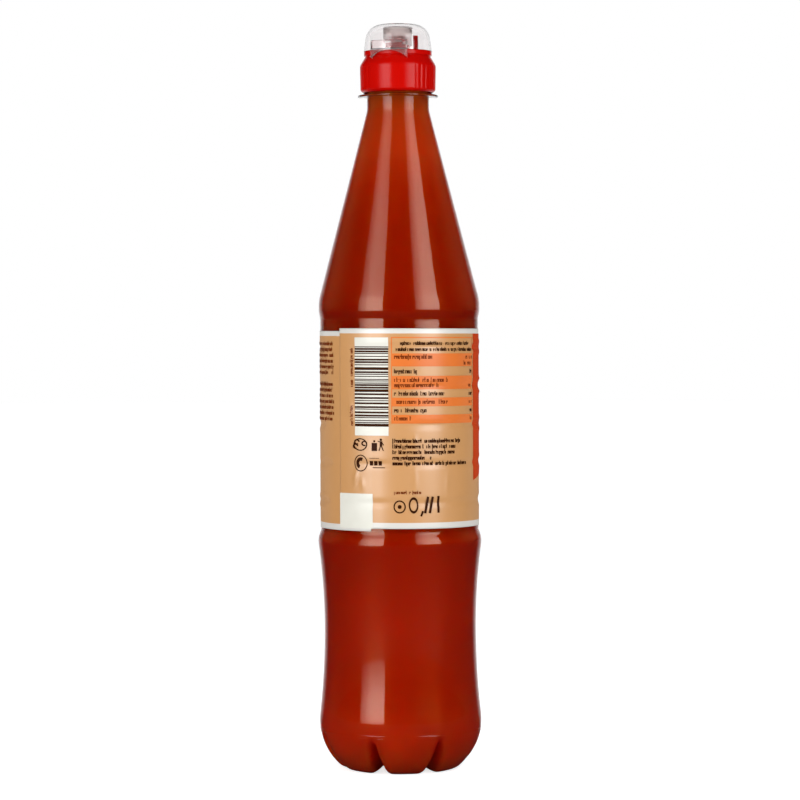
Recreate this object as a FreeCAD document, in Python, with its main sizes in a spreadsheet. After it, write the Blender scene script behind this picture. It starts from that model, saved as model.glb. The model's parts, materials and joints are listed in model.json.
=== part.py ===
"""A 0.7 litre PET bottle of fruit syrup: blown bottle, syrup, wrapped label, red screw cap and clear overcap.

The bottle stands on z = 0 with its axis on Z. An azimuth is measured from -Y towards +X. Each piece reads its
sizes from the sheet, and the expressions that several outlines share are kept as text.
"""

import FreeCAD, Part
import os

import Sketcher

SIZES = (
    # The blown bottle, from its feet up
    ("BodyRadius", 33.05, "radius of the bottle above its feet"),
    ("Wall", 0.5, "thickness of the blown wall"),
    ("Feet", 7, "feet round the base"),
    ("FootTurn", 4.5, "azimuth of the first foot, in degrees"),
    ("FootBend", 7, "outer rounding of a foot"),
    ("PadWidth", 2.6, "width of the flat that a foot stands on"),
    ("CentreRise", 5.5, "height of the middle of the base"),
    ("ValleyMiddle", 7, "height of the valleys between the feet, on the axis"),
    ("ValleyEdge", 15, "height at which a valley leaves the side"),
    ("ValleyBend", 1.1, "rounding along the top of a valley"),
    ("ValleySlant", 11, "angle of a valley's sides from upright, in degrees"),
    ("HeelHeight", 20, "height of the widest part above the feet"),
    ("HeelBend", 25, "bend of the heel, seen from the side"),
    ("WaistInset", 2.05, "how far the waist lies inside the body's radius"),
    ("WaistRise", 37.5, "height of the waist above the heel"),
    ("BeadReach", 0.35, "how far the bead under the label stands outside the body's radius"),
    ("BeadRise", 35.3, "height of the bead above the waist"),
    ("BeadBend", 9, "bend of the bead, seen from the side"),
    ("PanelInset", 0.85, "how far the panel under the label lies inside the body's radius"),
    ("PanelRise", 90.6, "height of the panel's upper end above the bead"),
    ("GrooveCount", 5, "grooves round the panel"),
    ("GrooveLower", 17, "height of the lowest groove above the bead"),
    ("GrooveUpper", 11.6, "depth of the highest groove below the panel's upper end"),
    ("GrooveDepth", 0.45, "depth of a groove"),
    ("GrooveBend", 3, "radius of a groove's section"),
    ("ShoulderInset", 0.25, "how far the shoulder lies inside the body's radius"),
    ("ShoulderStep", 2.8, "height of the step from the panel out to the shoulder"),
    ("ShoulderSide", 4.6, "height from that step to where the shoulder turns in to the cone"),
    ("ShoulderBend", 17, "rounding of that turn"),
    ("ConeHeight", 77.2, "height of the cone between the shoulder and the neck"),
    ("NeckBend", 8, "rounding of the turn from the cone up into the neck"),
    ("NeckLength", 5.2, "length of the neck from the cone to the support ring"),
    ("NeckStep", 0.2, "how far this neck stands outside the threaded neck above the ring"),
    ("RingReach", 3.7, "how far the support ring stands out from the neck"),
    ("RingRoot", 1.6, "thickness of the support ring at the neck"),
    ("RingLip", 0.8, "thickness of the support ring at its edge"),
    ("BoreRadius", 10.9, "radius of the mouth"),
    ("FinishWall", 1.5, "thickness of the threaded neck"),
    ("FinishHeight", 16.6, "height of the rim above the support ring's underside"),
    ("ThreadDepth", 1.2, "how far the thread stands out"),
    ("ThreadRoot", 1.6, "width of the thread at its root, half way into the neck's wall"),
    ("ThreadCrest", 0.54, "width of the thread at its crest"),
    ("ThreadPitch", 2.7, "rise of the thread in a turn"),
    ("ThreadTurns", 1.6, "turns of the thread"),
    ("ThreadLift", 3.5, "height of the thread's start above the support ring"),
    ("FillDrop", 8.8, "depth of the syrup's surface below the rim"),
    # The label, a strip wound once round with its end under its start
    ("Film", 0.15, "thickness of the label"),
    ("LabelLower", 2.4, "bare panel below the label"),
    ("LabelUpper", 3.9, "bare panel above the label"),
    ("SeamStart", -47.2, "azimuth of the outer end, in degrees"),
    ("SeamEnd", -20.8, "azimuth of the end beneath it, in degrees"),
    ("SeamDrop", 1.2, "how much lower the inner end lies"),
    # The screw cap
    ("CapTurn", -12, "azimuth of the cap's smooth front, in degrees"),
    ("CapLift", 0.2, "clearance between the skirt and the support ring"),
    ("CapGap", 0.2, "clearance round the bare part of the threaded neck"),
    ("ThreadGap", 0.4, "clearance round the thread and above it"),
    ("CapWall", 1.25, "thickness of the skirt at its foot"),
    ("CapDraft", 0.2, "how much wider the skirt is at its upper edge"),
    ("CapChamfer", 1.1, "chamfer round the skirt's foot, and rounding of its upper edge"),
    ("CapSlope", 3.8, "height of the slope from the skirt up to the pinch"),
    ("PinchWall", 0.5, "thickness of the cap's wall at the pinch under the collar"),
    ("CollarReach", 0.7, "how far the collar stands out over the pinch"),
    ("CollarHeight", 1.9, "height of the collar"),
    ("CollarRound", 0.4, "rounding of the collar's lower edge"),
    ("DeckThickness", 2.1, "thickness of the deck on the rim"),
    ("GripStart", 40, "angle from the cap's front to its first grip groove"),
    ("GripPitch", 9, "most that the angle from one grip groove to the next may be"),
    ("GripWidth", 0.9, "width of a grip groove"),
    ("GripDepth", 0.3, "depth of a grip groove at the skirt's foot"),
    ("GripEnd", 0.5, "distance from a grip groove's end to the skirt's upper edge"),
    ("SpoutRadius", 5.1, "radius of the spout"),
    ("SpoutRoom", 4.3, "room between the spout and the overcap's roof"),
    ("SpoutBend", 1.6, "rounding of the spout's lip"),
    ("SpoutBore", 2.2, "radius of the spout's mouth"),
    ("SpoutFloor", 1.7, "height of the mouth's floor above the deck"),
    ("PostWidth", 1.9, "width of the post beside the spout"),
    ("PostGap", 0.55, "gap between the post and the sleeve round the spout"),
    ("PostRoom", 4, "room between the post and the overcap's roof"),
    # The clear overcap
    ("DomeReach", 0.1, "how far the overcap's foot stands out past the collar"),
    ("DomeTaper", 1.4, "how much narrower its side is at the top"),
    ("DomeHeight", 11.4, "height of the overcap"),
    ("DomeCrown", 1.5, "rise of its roof"),
    ("DomeBend", 6.4, "rounding between its side and roof"),
    ("DomeWall", 1, "thickness of its side and roof"),
    ("SleeveGap", 0.2, "clearance between the spout and the sleeve that closes over it"),
    ("SleeveWall", 0.6, "thickness of the sleeve"),
    ("SleeveLift", 2.2, "height of the sleeve's end above the deck"),
    ("TabAngle", 70, "angle that the thumb tab takes up, in degrees"),
    ("TabRise", 3.6, "height of the tab's upper edge above the deck"),
    ("TabDrop", 3.6, "depth of the tab's tips below the deck"),
    ("TabWall", 0.9, "thickness of the hanging part of the tab"),
    ("TabGap", 0.25, "clearance between the tab's tips and the cap's slope"),
    ("TabBridge", 0.5, "depth of the tab below the deck, at the top of its arch"),
)

PLANES = {"top": "XY_Plane", "front": "XZ_Plane", "side": "YZ_Plane"}
TINY = 1e-3  # millimetres or cubic millimetres below which two sizes count as equal

doc = FreeCAD.newDocument("syrup_bottle")


def make_sheet():
    sheet = doc.addObject("Spreadsheet::Sheet", "sizes")
    for row, (alias, size, meaning) in enumerate(SIZES, 1):
        sheet.set(f"A{row}", alias)
        sheet.set(f"B{row}", str(size))
        sheet.setAlias(f"B{row}", alias)
        sheet.set(f"C{row}", meaning)
    doc.recompute()
    return sheet


sheet = make_sheet()


def bound(text):
    """An expression with each word that names a size read from the sheet."""
    words = {alias for alias, _, _ in SIZES}
    pieces, word = [], ""
    for letter in text + " ":
        if letter.isalpha():
            word += letter
            continue
        pieces.append(f"sizes.{word}" if word in words else word)
        pieces.append(letter)
        word = ""
    return "".join(pieces).strip()


def number(text):
    """The value that an expression has now."""
    value = sheet.evalExpression(bound(text))
    return float(getattr(value, "Value", value))


def new_body(name):
    body = doc.addObject("PartDesign::Body", name)
    body.Label = name
    return body


def new_sketch(body, name, plane, lift="0"):
    """A sketch on one of the body's own planes, moved along the plane's normal by lift."""
    sketch = body.newObject("Sketcher::SketchObject", name)
    support = next(f for f in body.Origin.OriginFeatures if f.Role == PLANES[plane])
    sketch.AttachmentSupport = [(support, "")]
    sketch.MapMode = "FlatFace"
    sketch.setExpression("AttachmentOffset.Base.z", bound(lift))
    return sketch


def arc_between(start, end, radius):
    """The arc from start to end, its centre on the left, or on the right where the radius is negative."""
    chord = end - start
    half = chord.Length / 2
    left = FreeCAD.Vector(-chord.y, chord.x, 0).normalize()
    rise = (radius**2 - half**2) ** 0.5
    centre = (start + end) / 2 + left * (rise if radius > 0 else -rise)
    middle = (start + end) / 2 - centre
    return Part.Arc(start, centre + middle.normalize() * abs(radius), end)


def pin_point(sketch, edge, end, place):
    """Bind a point of an edge to the two expressions in place. A coordinate of 0 puts it on that axis."""
    for axis, constraint, text in ((-2, "DistanceX", place[0]), (-1, "DistanceY", place[1])):
        if text == "0":
            sketch.addConstraint(Sketcher.Constraint("PointOnObject", edge, end, axis))
        else:
            index = sketch.addConstraint(Sketcher.Constraint(constraint, -1, 1, edge, end, number(text)))
            sketch.setExpression(f"Constraints[{index}]", bound(text))


def outline(sketch, corners):
    """A closed outline. A corner is two expressions, and a third, if it has one, is the radius of an arc to
    the next corner, as arc_between takes it."""
    places = [FreeCAD.Vector(number(corner[0]), number(corner[1]), 0) for corner in corners]
    ends = []
    for i, corner in enumerate(corners):
        start, end = places[i], places[(i + 1) % len(places)]
        if len(corner) == 2:
            edge = sketch.addGeometry(Part.LineSegment(start, end), False)
            ends.append((edge, 1, 2))
            continue
        bend = number(corner[2])
        edge = sketch.addGeometry(arc_between(start, end, bend), False)
        ends.append((edge, 1, 2) if bend > 0 else (edge, 2, 1))
    for i, (edge, first, last) in enumerate(ends):
        follower, its_first, _ = ends[(i + 1) % len(ends)]
        sketch.addConstraint(Sketcher.Constraint("Coincident", edge, last, follower, its_first))
        pin_point(sketch, edge, first, corners[i])
        if len(corners[i]) == 3:
            bend = corners[i][2].lstrip("-")
            index = sketch.addConstraint(Sketcher.Constraint("Radius", edge, number(bend)))
            sketch.setExpression(f"Constraints[{index}]", bound(bend))


def circle(sketch, place, radius):
    centre = FreeCAD.Vector(number(place[0]), number(place[1]), 0)
    edge = sketch.addGeometry(Part.Circle(centre, FreeCAD.Vector(0, 0, 1), number(radius)), False)
    pin_point(sketch, edge, 3, place)
    index = sketch.addConstraint(Sketcher.Constraint("Radius", edge, number(radius)))
    sketch.setExpression(f"Constraints[{index}]", bound(radius))


def add_axis(sketch, start, end):
    """A construction line between two places, which the sketch then offers as Axis0."""
    places = [FreeCAD.Vector(number(place[0]), number(place[1]), 0) for place in (start, end)]
    edge = sketch.addGeometry(Part.LineSegment(*places), True)
    pin_point(sketch, edge, 1, start)
    pin_point(sketch, edge, 2, end)


def apply_settings(made, settings):
    """Give an object its settings. Text is an expression, and anything else is a plain value."""
    for key, value in settings.items():
        if isinstance(value, str):
            made.setExpression(key, bound(value))
        else:
            setattr(made, key, value)


def feature(body, kind, name, profile=None, **settings):
    made = body.newObject(f"PartDesign::{kind}", name)
    if profile is not None:
        made.Profile = profile
        profile.Visibility = False
    apply_settings(made, settings)
    doc.recompute()
    return made


def revolve(body, kind, name, sketch, **settings):
    """A Revolution or Groove of a sketch about the body's upright axis."""
    return feature(body, kind, name, sketch, ReferenceAxis=(sketch, ["V_Axis"]), **settings)


def changes(made, before, grows):
    """Stop where a feature left the volume as it was, because it points away from the solid."""
    change = made.Shape.Volume - before
    if abs(change) < TINY or (change > 0) != grows:
        raise RuntimeError(f"{made.Name} changes the volume by {change:.4f}")


def repeat(body, kind, name, original, **settings):
    """A pattern of one feature, which counts once the body's tip is set to it."""
    pattern = body.newObject(f"PartDesign::{kind}", name)
    pattern.Originals = [original]
    apply_settings(pattern, settings)
    body.Tip = pattern
    doc.recompute()


def upright(body):
    return (next(f for f in body.Origin.OriginFeatures if f.Role == "Z_Axis"), [""])


def round_rings(body, name, radius, *rings):
    """Round the body's circular edges at these radii and heights about its axis."""
    doc.recompute()
    picked = []
    for r, z in ((number(r), number(z)) for r, z in rings):
        for i, edge in enumerate(body.Shape.Edges, 1):
            if edge.Degenerated or not isinstance(edge.Curve, Part.Circle) or not edge.isClosed():
                continue
            if abs(edge.Curve.Radius - r) < TINY and abs(edge.Curve.Center.z - z) < TINY:
                picked.append(f"Edge{i}")
    if len(picked) != len(rings):
        raise RuntimeError(f"{name} finds {len(picked)} of its {len(rings)} edges")
    feature(body, "Fillet", name, Base=(body.Tip, picked), Radius=radius)


# Radii of the bottle
WAIST = "(BodyRadius - WaistInset)"
PANEL = "(BodyRadius - PanelInset)"
SHOULDER = "(BodyRadius - ShoulderInset)"
FINISH = "(BoreRadius + FinishWall)"
NECK = f"({FINISH} + NeckStep)"
RING = f"({NECK} + RingReach)"

# Heights of the bottle
WAIST_Z = "(HeelHeight + WaistRise)"
BEAD_Z = f"({WAIST_Z} + BeadRise)"
PANEL_TOP = f"({BEAD_Z} + PanelRise)"
SHOULDER_TOP = f"({PANEL_TOP} + ShoulderStep + ShoulderSide)"
CONE_TOP = f"({SHOULDER_TOP} + ConeHeight)"
RING_Z = f"({CONE_TOP} + NeckLength)"
RING_TOP = f"({RING_Z} + RingRoot)"
RIM_Z = f"({RING_Z} + FinishHeight)"

# Centres of the bends in the bottle's outline. They serve inside and out, so the wall is even.
HEEL_AT = "(BodyRadius - HeelBend)"
FOOT_AT = f"({HEEL_AT} + sqrt((HeelBend - FootBend)^2 - (HeelHeight - FootBend)^2))"
BEAD_AT = "(BodyRadius + BeadReach - BeadBend)"
CONE = f"atan(({SHOULDER} - {NECK}) / ConeHeight)"
SHOULDER_AT = f"({SHOULDER} - ShoulderBend)"
SHOULDER_AT_Z = f"({SHOULDER_TOP} - ShoulderBend * tan({CONE} / 2))"
NECK_AT = f"({NECK} + NeckBend)"
NECK_AT_Z = f"({CONE_TOP} + NeckBend * tan({CONE} / 2))"


def waist_arc(bend_at, bend_height, bend):
    """The radius of the arc that is upright at the waist and touches a bend of the heel or bead: the distance
    between the two centres is the sum of the two radii."""
    return (
        f"((({WAIST} - {bend_at})^2 + ({WAIST_Z} - {bend_height})^2 - {bend}^2)"
        f" / (2 * ({bend} - {WAIST} + {bend_at})))"
    )


LOWER_WAIST = waist_arc(HEEL_AT, "HeelHeight", "HeelBend")
UPPER_WAIST = waist_arc(BEAD_AT, BEAD_Z, "BeadBend")


def towards_waist(bend_at, bend_height, bend, waist_bend, inset):
    """Where a bend of the heel or bead meets the arc of the waist, on the line between their centres."""
    reach = f"({bend} - {inset}) / ({bend} + {waist_bend})"
    return (
        f"{bend_at} + ({WAIST} + {waist_bend} - {bend_at}) * {reach}",
        f"{bend_height} + ({WAIST_Z} - {bend_height}) * {reach}",
    )


def panel_foot(inset):
    """The height at which the bead's bend meets the panel."""
    return f"({BEAD_Z} + sqrt((BeadBend - {inset})^2 - ({PANEL} - {inset} - {BEAD_AT})^2))"


def vessel_side(inset):
    """The outline from the middle of the base up to the neck, inset by that much from the outer face."""
    heel_reach = f"(HeelBend - {inset}) / (HeelBend - FootBend)"
    return [
        ("0", f"CentreRise + {inset}"),
        (f"{FOOT_AT} - PadWidth", inset),
        (FOOT_AT, inset, f"FootBend - {inset}"),
        (
            f"{HEEL_AT} + ({FOOT_AT} - {HEEL_AT}) * {heel_reach}",
            f"HeelHeight - (HeelHeight - FootBend) * {heel_reach}",
            f"HeelBend - {inset}",
        ),
        (
            *towards_waist(HEEL_AT, "HeelHeight", "HeelBend", LOWER_WAIST, inset),
            f"-({LOWER_WAIST} + {inset})",
        ),
        (f"{WAIST} - {inset}", WAIST_Z, f"-({UPPER_WAIST} + {inset})"),
        (*towards_waist(BEAD_AT, BEAD_Z, "BeadBend", UPPER_WAIST, inset), f"BeadBend - {inset}"),
        (f"{PANEL} - {inset}", panel_foot(inset)),
        (f"{PANEL} - {inset}", PANEL_TOP),
        (f"{SHOULDER} - {inset}", f"{PANEL_TOP} + ShoulderStep"),
        (f"{SHOULDER} - {inset}", SHOULDER_AT_Z, f"ShoulderBend - {inset}"),
        (
            f"{SHOULDER_AT} + (ShoulderBend - {inset}) * cos({CONE})",
            f"{SHOULDER_AT_Z} + (ShoulderBend - {inset}) * sin({CONE})",
        ),
        (
            f"{NECK_AT} - (NeckBend + {inset}) * cos({CONE})",
            f"{NECK_AT_Z} - (NeckBend + {inset}) * sin({CONE})",
            f"-(NeckBend + {inset})",
        ),
        (f"{NECK} - {inset}", NECK_AT_Z),
    ]


def vessel(name, inset, top):
    """The body of the bottle's outer face, or of the room inside it, with grooves in its side and base."""
    body = new_body(name)
    side = new_sketch(body, f"{name}_side", "front")
    outline(side, vessel_side(inset) + top)
    revolve(body, "Revolution", f"{name}_form", side, Angle=360)

    before = body.Shape.Volume
    ring = new_sketch(body, f"{name}_groove_section", "front")
    circle(ring, (f"{PANEL} + GrooveBend - GrooveDepth", f"{BEAD_Z} + GrooveLower"), f"GrooveBend + {inset}")
    groove = revolve(body, "Groove", f"{name}_groove", ring, Angle=360)
    changes(groove, before, grows=False)
    repeat(
        body,
        "LinearPattern",
        f"{name}_grooves",
        groove,
        Direction=upright(body),
        Length="PanelRise - GrooveLower - GrooveUpper",
        Occurrences="GrooveCount",
    )

    before = body.Shape.Volume
    valley = valley_cut(body, name, inset)
    changes(valley, before, grows=False)
    repeat(body, "PolarPattern", f"{name}_valleys", valley, Axis=upright(body), Angle=360, Occurrences="Feet")
    body.setExpression("Placement.Rotation.Angle", bound("FootTurn + 180 / Feet - 90"))
    return body


# A valley's top is an arc about a level line over the base. VALLEY_LINE is the height of the line that puts
# the arc at ValleyMiddle on the axis and at ValleyEdge at the body's radius, VALLEY_TURN the angle between.
VALLEY_LINE = "((BodyRadius^2 + ValleyEdge^2 - ValleyMiddle^2) / (2 * (ValleyEdge - ValleyMiddle)))"
VALLEY_TURN = f"atan(BodyRadius / ({VALLEY_LINE} - ValleyEdge))"


def valley_cut(body, name, inset):
    """One valley between two feet, along +X: a wedge with a rounded top, turned about the line until it is
    half as far again from the axis as the side."""
    bend = f"(ValleyBend + {inset})"
    top_y = f"{bend} * cos(ValleySlant)"
    top_z = f"(ValleyMiddle - ValleyBend + {bend} * sin(ValleySlant))"
    depth = f"({top_z} + HeelBend)"
    foot_y = f"{top_y} + {depth} * tan(ValleySlant)"
    section = new_sketch(body, f"{name}_valley_section", "side")
    outline(
        section,
        [
            (foot_y, f"{top_z} - {depth}"),
            (top_y, top_z, bend),
            (f"-{top_y}", top_z),
            (f"-({foot_y})", f"{top_z} - {depth}"),
        ],
    )
    add_axis(section, ("-BodyRadius", VALLEY_LINE), ("BodyRadius", VALLEY_LINE))
    return feature(
        body,
        "Groove",
        f"{name}_valley",
        section,
        ReferenceAxis=(section, ["Axis0"]),
        Angle=f"1.5 * {VALLEY_TURN}",
        Reversed=True,
    )


def make_bottle():
    """The blown wall: the outer form with its thread, less the room inside."""
    outer = vessel(
        "outer_form",
        "0",
        [
            (NECK, RING_Z),
            (RING, RING_Z),
            (RING, f"{RING_Z} + RingLip"),
            (FINISH, RING_TOP),
            (FINISH, RIM_Z),
            ("0", RIM_Z),
        ],
    )
    add_thread(outer)
    over_rim = f"{RIM_Z} + Wall"
    room = vessel("inner_form", "Wall", [("BoreRadius", RING_Z), ("BoreRadius", over_rim), ("0", over_rim)])
    bottle = doc.addObject("Part::Cut", "bottle")
    bottle.Base, bottle.Tool = outer, room
    return bottle, room


def add_thread(body):
    """A single thread round the neck above the ring, its root half way into the neck's wall."""
    before = body.Shape.Volume
    start = f"{RING_TOP} + ThreadLift"
    sunk, crest = f"{FINISH} - FinishWall / 2", f"{FINISH} + ThreadDepth"
    section = new_sketch(body, "thread_section", "front")
    outline(
        section,
        [
            (sunk, start),
            (crest, f"{start} + (ThreadRoot - ThreadCrest) / 2"),
            (crest, f"{start} + (ThreadRoot + ThreadCrest) / 2"),
            (sunk, f"{start} + ThreadRoot"),
        ],
    )
    pitch_and_turns = 1
    thread = revolve(
        body,
        "AdditiveHelix",
        "thread",
        section,
        Mode=pitch_and_turns,
        Pitch="ThreadPitch",
        Turns="ThreadTurns",
    )
    changes(thread, before, grows=True)


def make_syrup(room):
    """The syrup fills the room inside the bottle up to its surface."""
    fill = doc.addObject("Part::Cylinder", "fill")
    fill.setExpression("Radius", bound("BodyRadius + BeadReach"))
    fill.setExpression("Height", bound(f"{RIM_Z} - FillDrop"))
    syrup = doc.addObject("Part::Common", "syrup")
    syrup.Base, syrup.Tool = room, fill
    return syrup


LABEL_BOTTOM = f"({panel_foot('0')} + LabelLower)"
LABEL_TOP = f"({PANEL_TOP} - LabelUpper)"


def make_label():
    """The film round the panel, its two ends lapped, the inner end a little lower than the outer."""
    body = new_body("label")
    wrap = new_sketch(body, "wrap_section", "top", LABEL_BOTTOM)
    circle(wrap, ("0", "0"), PANEL)
    circle(wrap, ("0", "0"), f"{PANEL} + Film")
    feature(body, "Pad", "wrap", wrap, Length=f"{LABEL_TOP} - {LABEL_BOTTOM}")
    add_layer(body, "inner_end", "Film", f"{LABEL_BOTTOM} - SeamDrop", f"{LABEL_TOP} - SeamDrop")
    add_layer(body, "outer_end", "2 * Film", LABEL_BOTTOM, LABEL_TOP)
    body.setExpression("Placement.Rotation.Angle", bound("SeamStart"))
    return body


def add_layer(body, name, depth, bottom, top):
    """The film over the lap, from the panel out to the given depth."""
    before = body.Shape.Volume
    section = new_sketch(body, f"{name}_section", "side")
    inside, outside = f"-{PANEL}", f"-({PANEL} + {depth})"
    outline(section, [(inside, bottom), (inside, top), (outside, top), (outside, bottom)])
    layer = revolve(body, "Revolution", name, section, Angle="SeamEnd - SeamStart")
    changes(layer, before, grows=True)


# The cap and the overcap, with heights measured from the foot of the cap's skirt
CAP_DEPTH = "(FinishHeight - RingRoot - CapLift)"
DECK = f"({CAP_DEPTH} + DeckThickness)"
COLLAR_FOOT = f"({DECK} - CollarHeight)"
CAP_EDGE = f"({COLLAR_FOOT} - CapSlope)"
THREAD_TOP = "(ThreadLift - CapLift + ThreadPitch * ThreadTurns + ThreadRoot)"
SPOUT_TOP = f"({DECK} + DomeHeight - DomeWall - SpoutRoom)"
NECK_BORE = f"({FINISH} + CapGap)"
THREAD_BORE = f"({FINISH} + ThreadDepth + ThreadGap)"
SKIRT_FOOT = f"({THREAD_BORE} + CapWall)"
SKIRT_TOP = f"({SKIRT_FOOT} + CapDraft)"
PINCH = f"({NECK_BORE} + PinchWall)"
COLLAR = f"({PINCH} + CollarReach)"
SLEEVE_BORE = "(SpoutRadius + SleeveGap)"
SLEEVE = f"({SLEEVE_BORE} + SleeveWall)"


def make_cap():
    """The screw cap with its spout, from the foot of its skirt at z = 0, its smooth front towards -Y."""
    body = new_body("cap")
    section = new_sketch(body, "cap_section", "front")
    outline(
        section,
        [
            (THREAD_BORE, "0"),
            (f"{SKIRT_FOOT} - CapChamfer", "0"),
            (SKIRT_FOOT, "CapChamfer"),
            (SKIRT_TOP, CAP_EDGE),
            (PINCH, COLLAR_FOOT),
            (COLLAR, COLLAR_FOOT),
            (COLLAR, DECK),
            ("SpoutRadius", DECK),
            ("SpoutRadius", SPOUT_TOP),
            ("SpoutBore", SPOUT_TOP),
            ("SpoutBore", f"{DECK} + SpoutFloor"),
            ("0", f"{DECK} + SpoutFloor"),
            ("0", CAP_DEPTH),
            (NECK_BORE, CAP_DEPTH),
            (NECK_BORE, f"{THREAD_TOP} + ThreadGap + {THREAD_BORE} - {NECK_BORE}"),
            (THREAD_BORE, f"{THREAD_TOP} + ThreadGap"),
        ],
    )
    revolve(body, "Revolution", "cap_form", section, Angle=360)
    round_rings(body, "cap_shoulder", "CapChamfer", (SKIRT_TOP, CAP_EDGE))
    round_rings(body, "spout_lip", "SpoutBend", ("SpoutRadius", SPOUT_TOP))
    round_rings(body, "collar_edge", "CollarRound", (COLLAR, COLLAR_FOOT))
    add_post(body)
    add_grips(body)
    body.setExpression("Placement.Base.z", bound(f"{RIM_Z} - {CAP_DEPTH}"))
    body.setExpression("Placement.Rotation.Angle", bound("CapTurn"))
    return body


def add_post(body):
    """A square post on the deck, beside the sleeve that closes over the spout."""
    before = body.Shape.Volume
    section = new_sketch(body, "post_section", "top", DECK)
    inner, half = f"{SLEEVE} + PostGap", "PostWidth / 2"
    outer = f"{inner} + PostWidth"
    outline(section, [(inner, f"-{half}"), (outer, f"-{half}"), (outer, half), (inner, half)])
    post = feature(body, "Pad", "post", section, Length="DomeHeight - DomeWall - PostRoom")
    changes(post, before, grows=True)


def add_grips(body):
    """Upright grooves round the skirt, all but its smooth front."""
    before = body.Shape.Volume
    section = new_sketch(body, "grip_section", "top")
    section.setExpression("AttachmentOffset.Rotation.Angle", bound("GripStart"))
    floor, past, half = f"-({SKIRT_FOOT} - GripDepth)", f"-({SKIRT_TOP} + GripDepth)", "GripWidth / 2"
    outline(section, [(f"-{half}", past), (half, past), (half, floor), (f"-{half}", floor)])
    grip = feature(body, "Pocket", "grip", section, Length=f"{CAP_EDGE} - GripEnd", Reversed=True)
    changes(grip, before, grows=False)
    repeat(
        body,
        "PolarPattern",
        "grips",
        grip,
        Axis=upright(body),
        Angle="360 - 2 * GripStart",
        Occurrences="floor((360 - 2 * GripStart) / GripPitch) + 1",
    )


# The overcap, with heights measured from its foot on the deck
DOME = f"({COLLAR} + DomeReach)"
ROOF = f"({DOME} - DomeTaper)"
ROOF_BEND = f"(({ROOF}^2 + DomeCrown^2) / (2 * DomeCrown))"
TAB_BACK = f"({PINCH} + (TabDrop - CollarHeight) * ({SKIRT_TOP} - {PINCH}) / CapSlope + TabGap)"
TAB_FACE = f"({TAB_BACK} + TabWall)"


def roof_height(inset, r):
    """The height of the overcap's domed roof, inset below its outer face, at a radius of r."""
    return f"DomeHeight - {ROOF_BEND} + sqrt(({ROOF_BEND} - {inset})^2 - ({r})^2)"


def make_overcap():
    """The clear overcap with its sleeve over the spout, from its foot at z = 0, its tab towards -Y."""
    body = new_body("overcap")
    inner_bend, side = f"-({ROOF_BEND} - DomeWall)", f"{ROOF} - DomeWall"
    section = new_sketch(body, "dome_section", "front")
    outline(
        section,
        [
            (DOME, "0"),
            (ROOF, roof_height("0", ROOF), ROOF_BEND),
            ("0", "DomeHeight"),
            ("0", "DomeHeight - DomeWall", inner_bend),
            (SLEEVE_BORE, roof_height("DomeWall", SLEEVE_BORE)),
            (SLEEVE_BORE, "SleeveLift"),
            (SLEEVE, "SleeveLift"),
            (SLEEVE, roof_height("DomeWall", SLEEVE), inner_bend),
            (side, roof_height("DomeWall", side)),
            (f"{DOME} - DomeWall", "0"),
        ],
    )
    revolve(body, "Revolution", "dome_form", section, Angle=360)
    round_rings(body, "dome_outside", "DomeBend", (ROOF, roof_height("0", ROOF)))
    round_rings(body, "dome_inside", "DomeBend - DomeWall", (side, roof_height("DomeWall", side)))
    add_tab(body)
    body.setExpression("Placement.Base.z", bound(f"{RIM_Z} + DeckThickness"))
    body.setExpression("Placement.Rotation.Angle", bound("CapTurn"))
    return body


def add_tab(body):
    """The thumb tab: a band on the overcap's side that hangs past the collar, its lower edge an arch."""
    before = body.Shape.Volume
    root, back, face = f"-({DOME} - DomeWall / 2)", f"-{TAB_BACK}", f"-{TAB_FACE}"
    section = new_sketch(body, "tab_section", "side")
    outline(
        section,
        [
            (root, "TabRise"),
            (face, "TabRise"),
            (face, "-TabDrop"),
            (back, "-TabDrop"),
            (back, "0"),
            (root, "0"),
        ],
    )
    tab = revolve(body, "Revolution", "tab", section, Angle="TabAngle", Midplane=True)
    changes(tab, before, grows=True)

    before = body.Shape.Volume
    half, rise = f"({TAB_FACE} * sin(TabAngle / 2))", "(TabDrop - TabBridge)"
    bend = f"(({half}^2 + {rise}^2) / (2 * {rise}))"
    arch_section = new_sketch(body, "arch_section", "front")
    circle(arch_section, ("0", f"-TabBridge - {bend}"), bend)
    arch = feature(body, "Pocket", "arch", arch_section, Length=f"2 * {TAB_FACE}", Midplane=True)
    changes(arch, before, grows=False)


def check_and_write(pieces):
    """Stop at any failed object or broken shape, and otherwise write each piece to parts/NAME.step."""
    doc.recompute()
    failed = [made.Name for made in doc.Objects if {"Invalid", "Error"} & set(made.State)]
    shapes = {piece.Label: piece.Shape for piece in pieces}
    broken = [
        name
        for name, shape in shapes.items()
        if shape.isNull() or not shape.isValid() or len(shape.Solids) != 1
    ]
    if failed or broken:
        raise RuntimeError(f"failed objects {failed}, broken shapes {broken}")
    os.makedirs("parts", exist_ok=True)
    for name, shape in shapes.items():
        shape.exportStep(f"parts/{name}.step")
        print(f"{name}: {shape.Volume / 1000:.2f} cm3")


bottle, room = make_bottle()
check_and_write([bottle, make_syrup(room), make_label(), make_cap(), make_overcap()])
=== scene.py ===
"""The finished look of a clear bottle of fruit syrup with a red screw cap, a clear overcap and a film label.

Run it in Blender to build the whole scene, or run its operators one by one from the sidebar of the 3D view.
Lengths in the functions are millimetres, and the mesh is written in metres. A place on the bottle is a
radius, an azimuth from the front (-Y) towards +X, and a height.
"""

import json
import math

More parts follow.
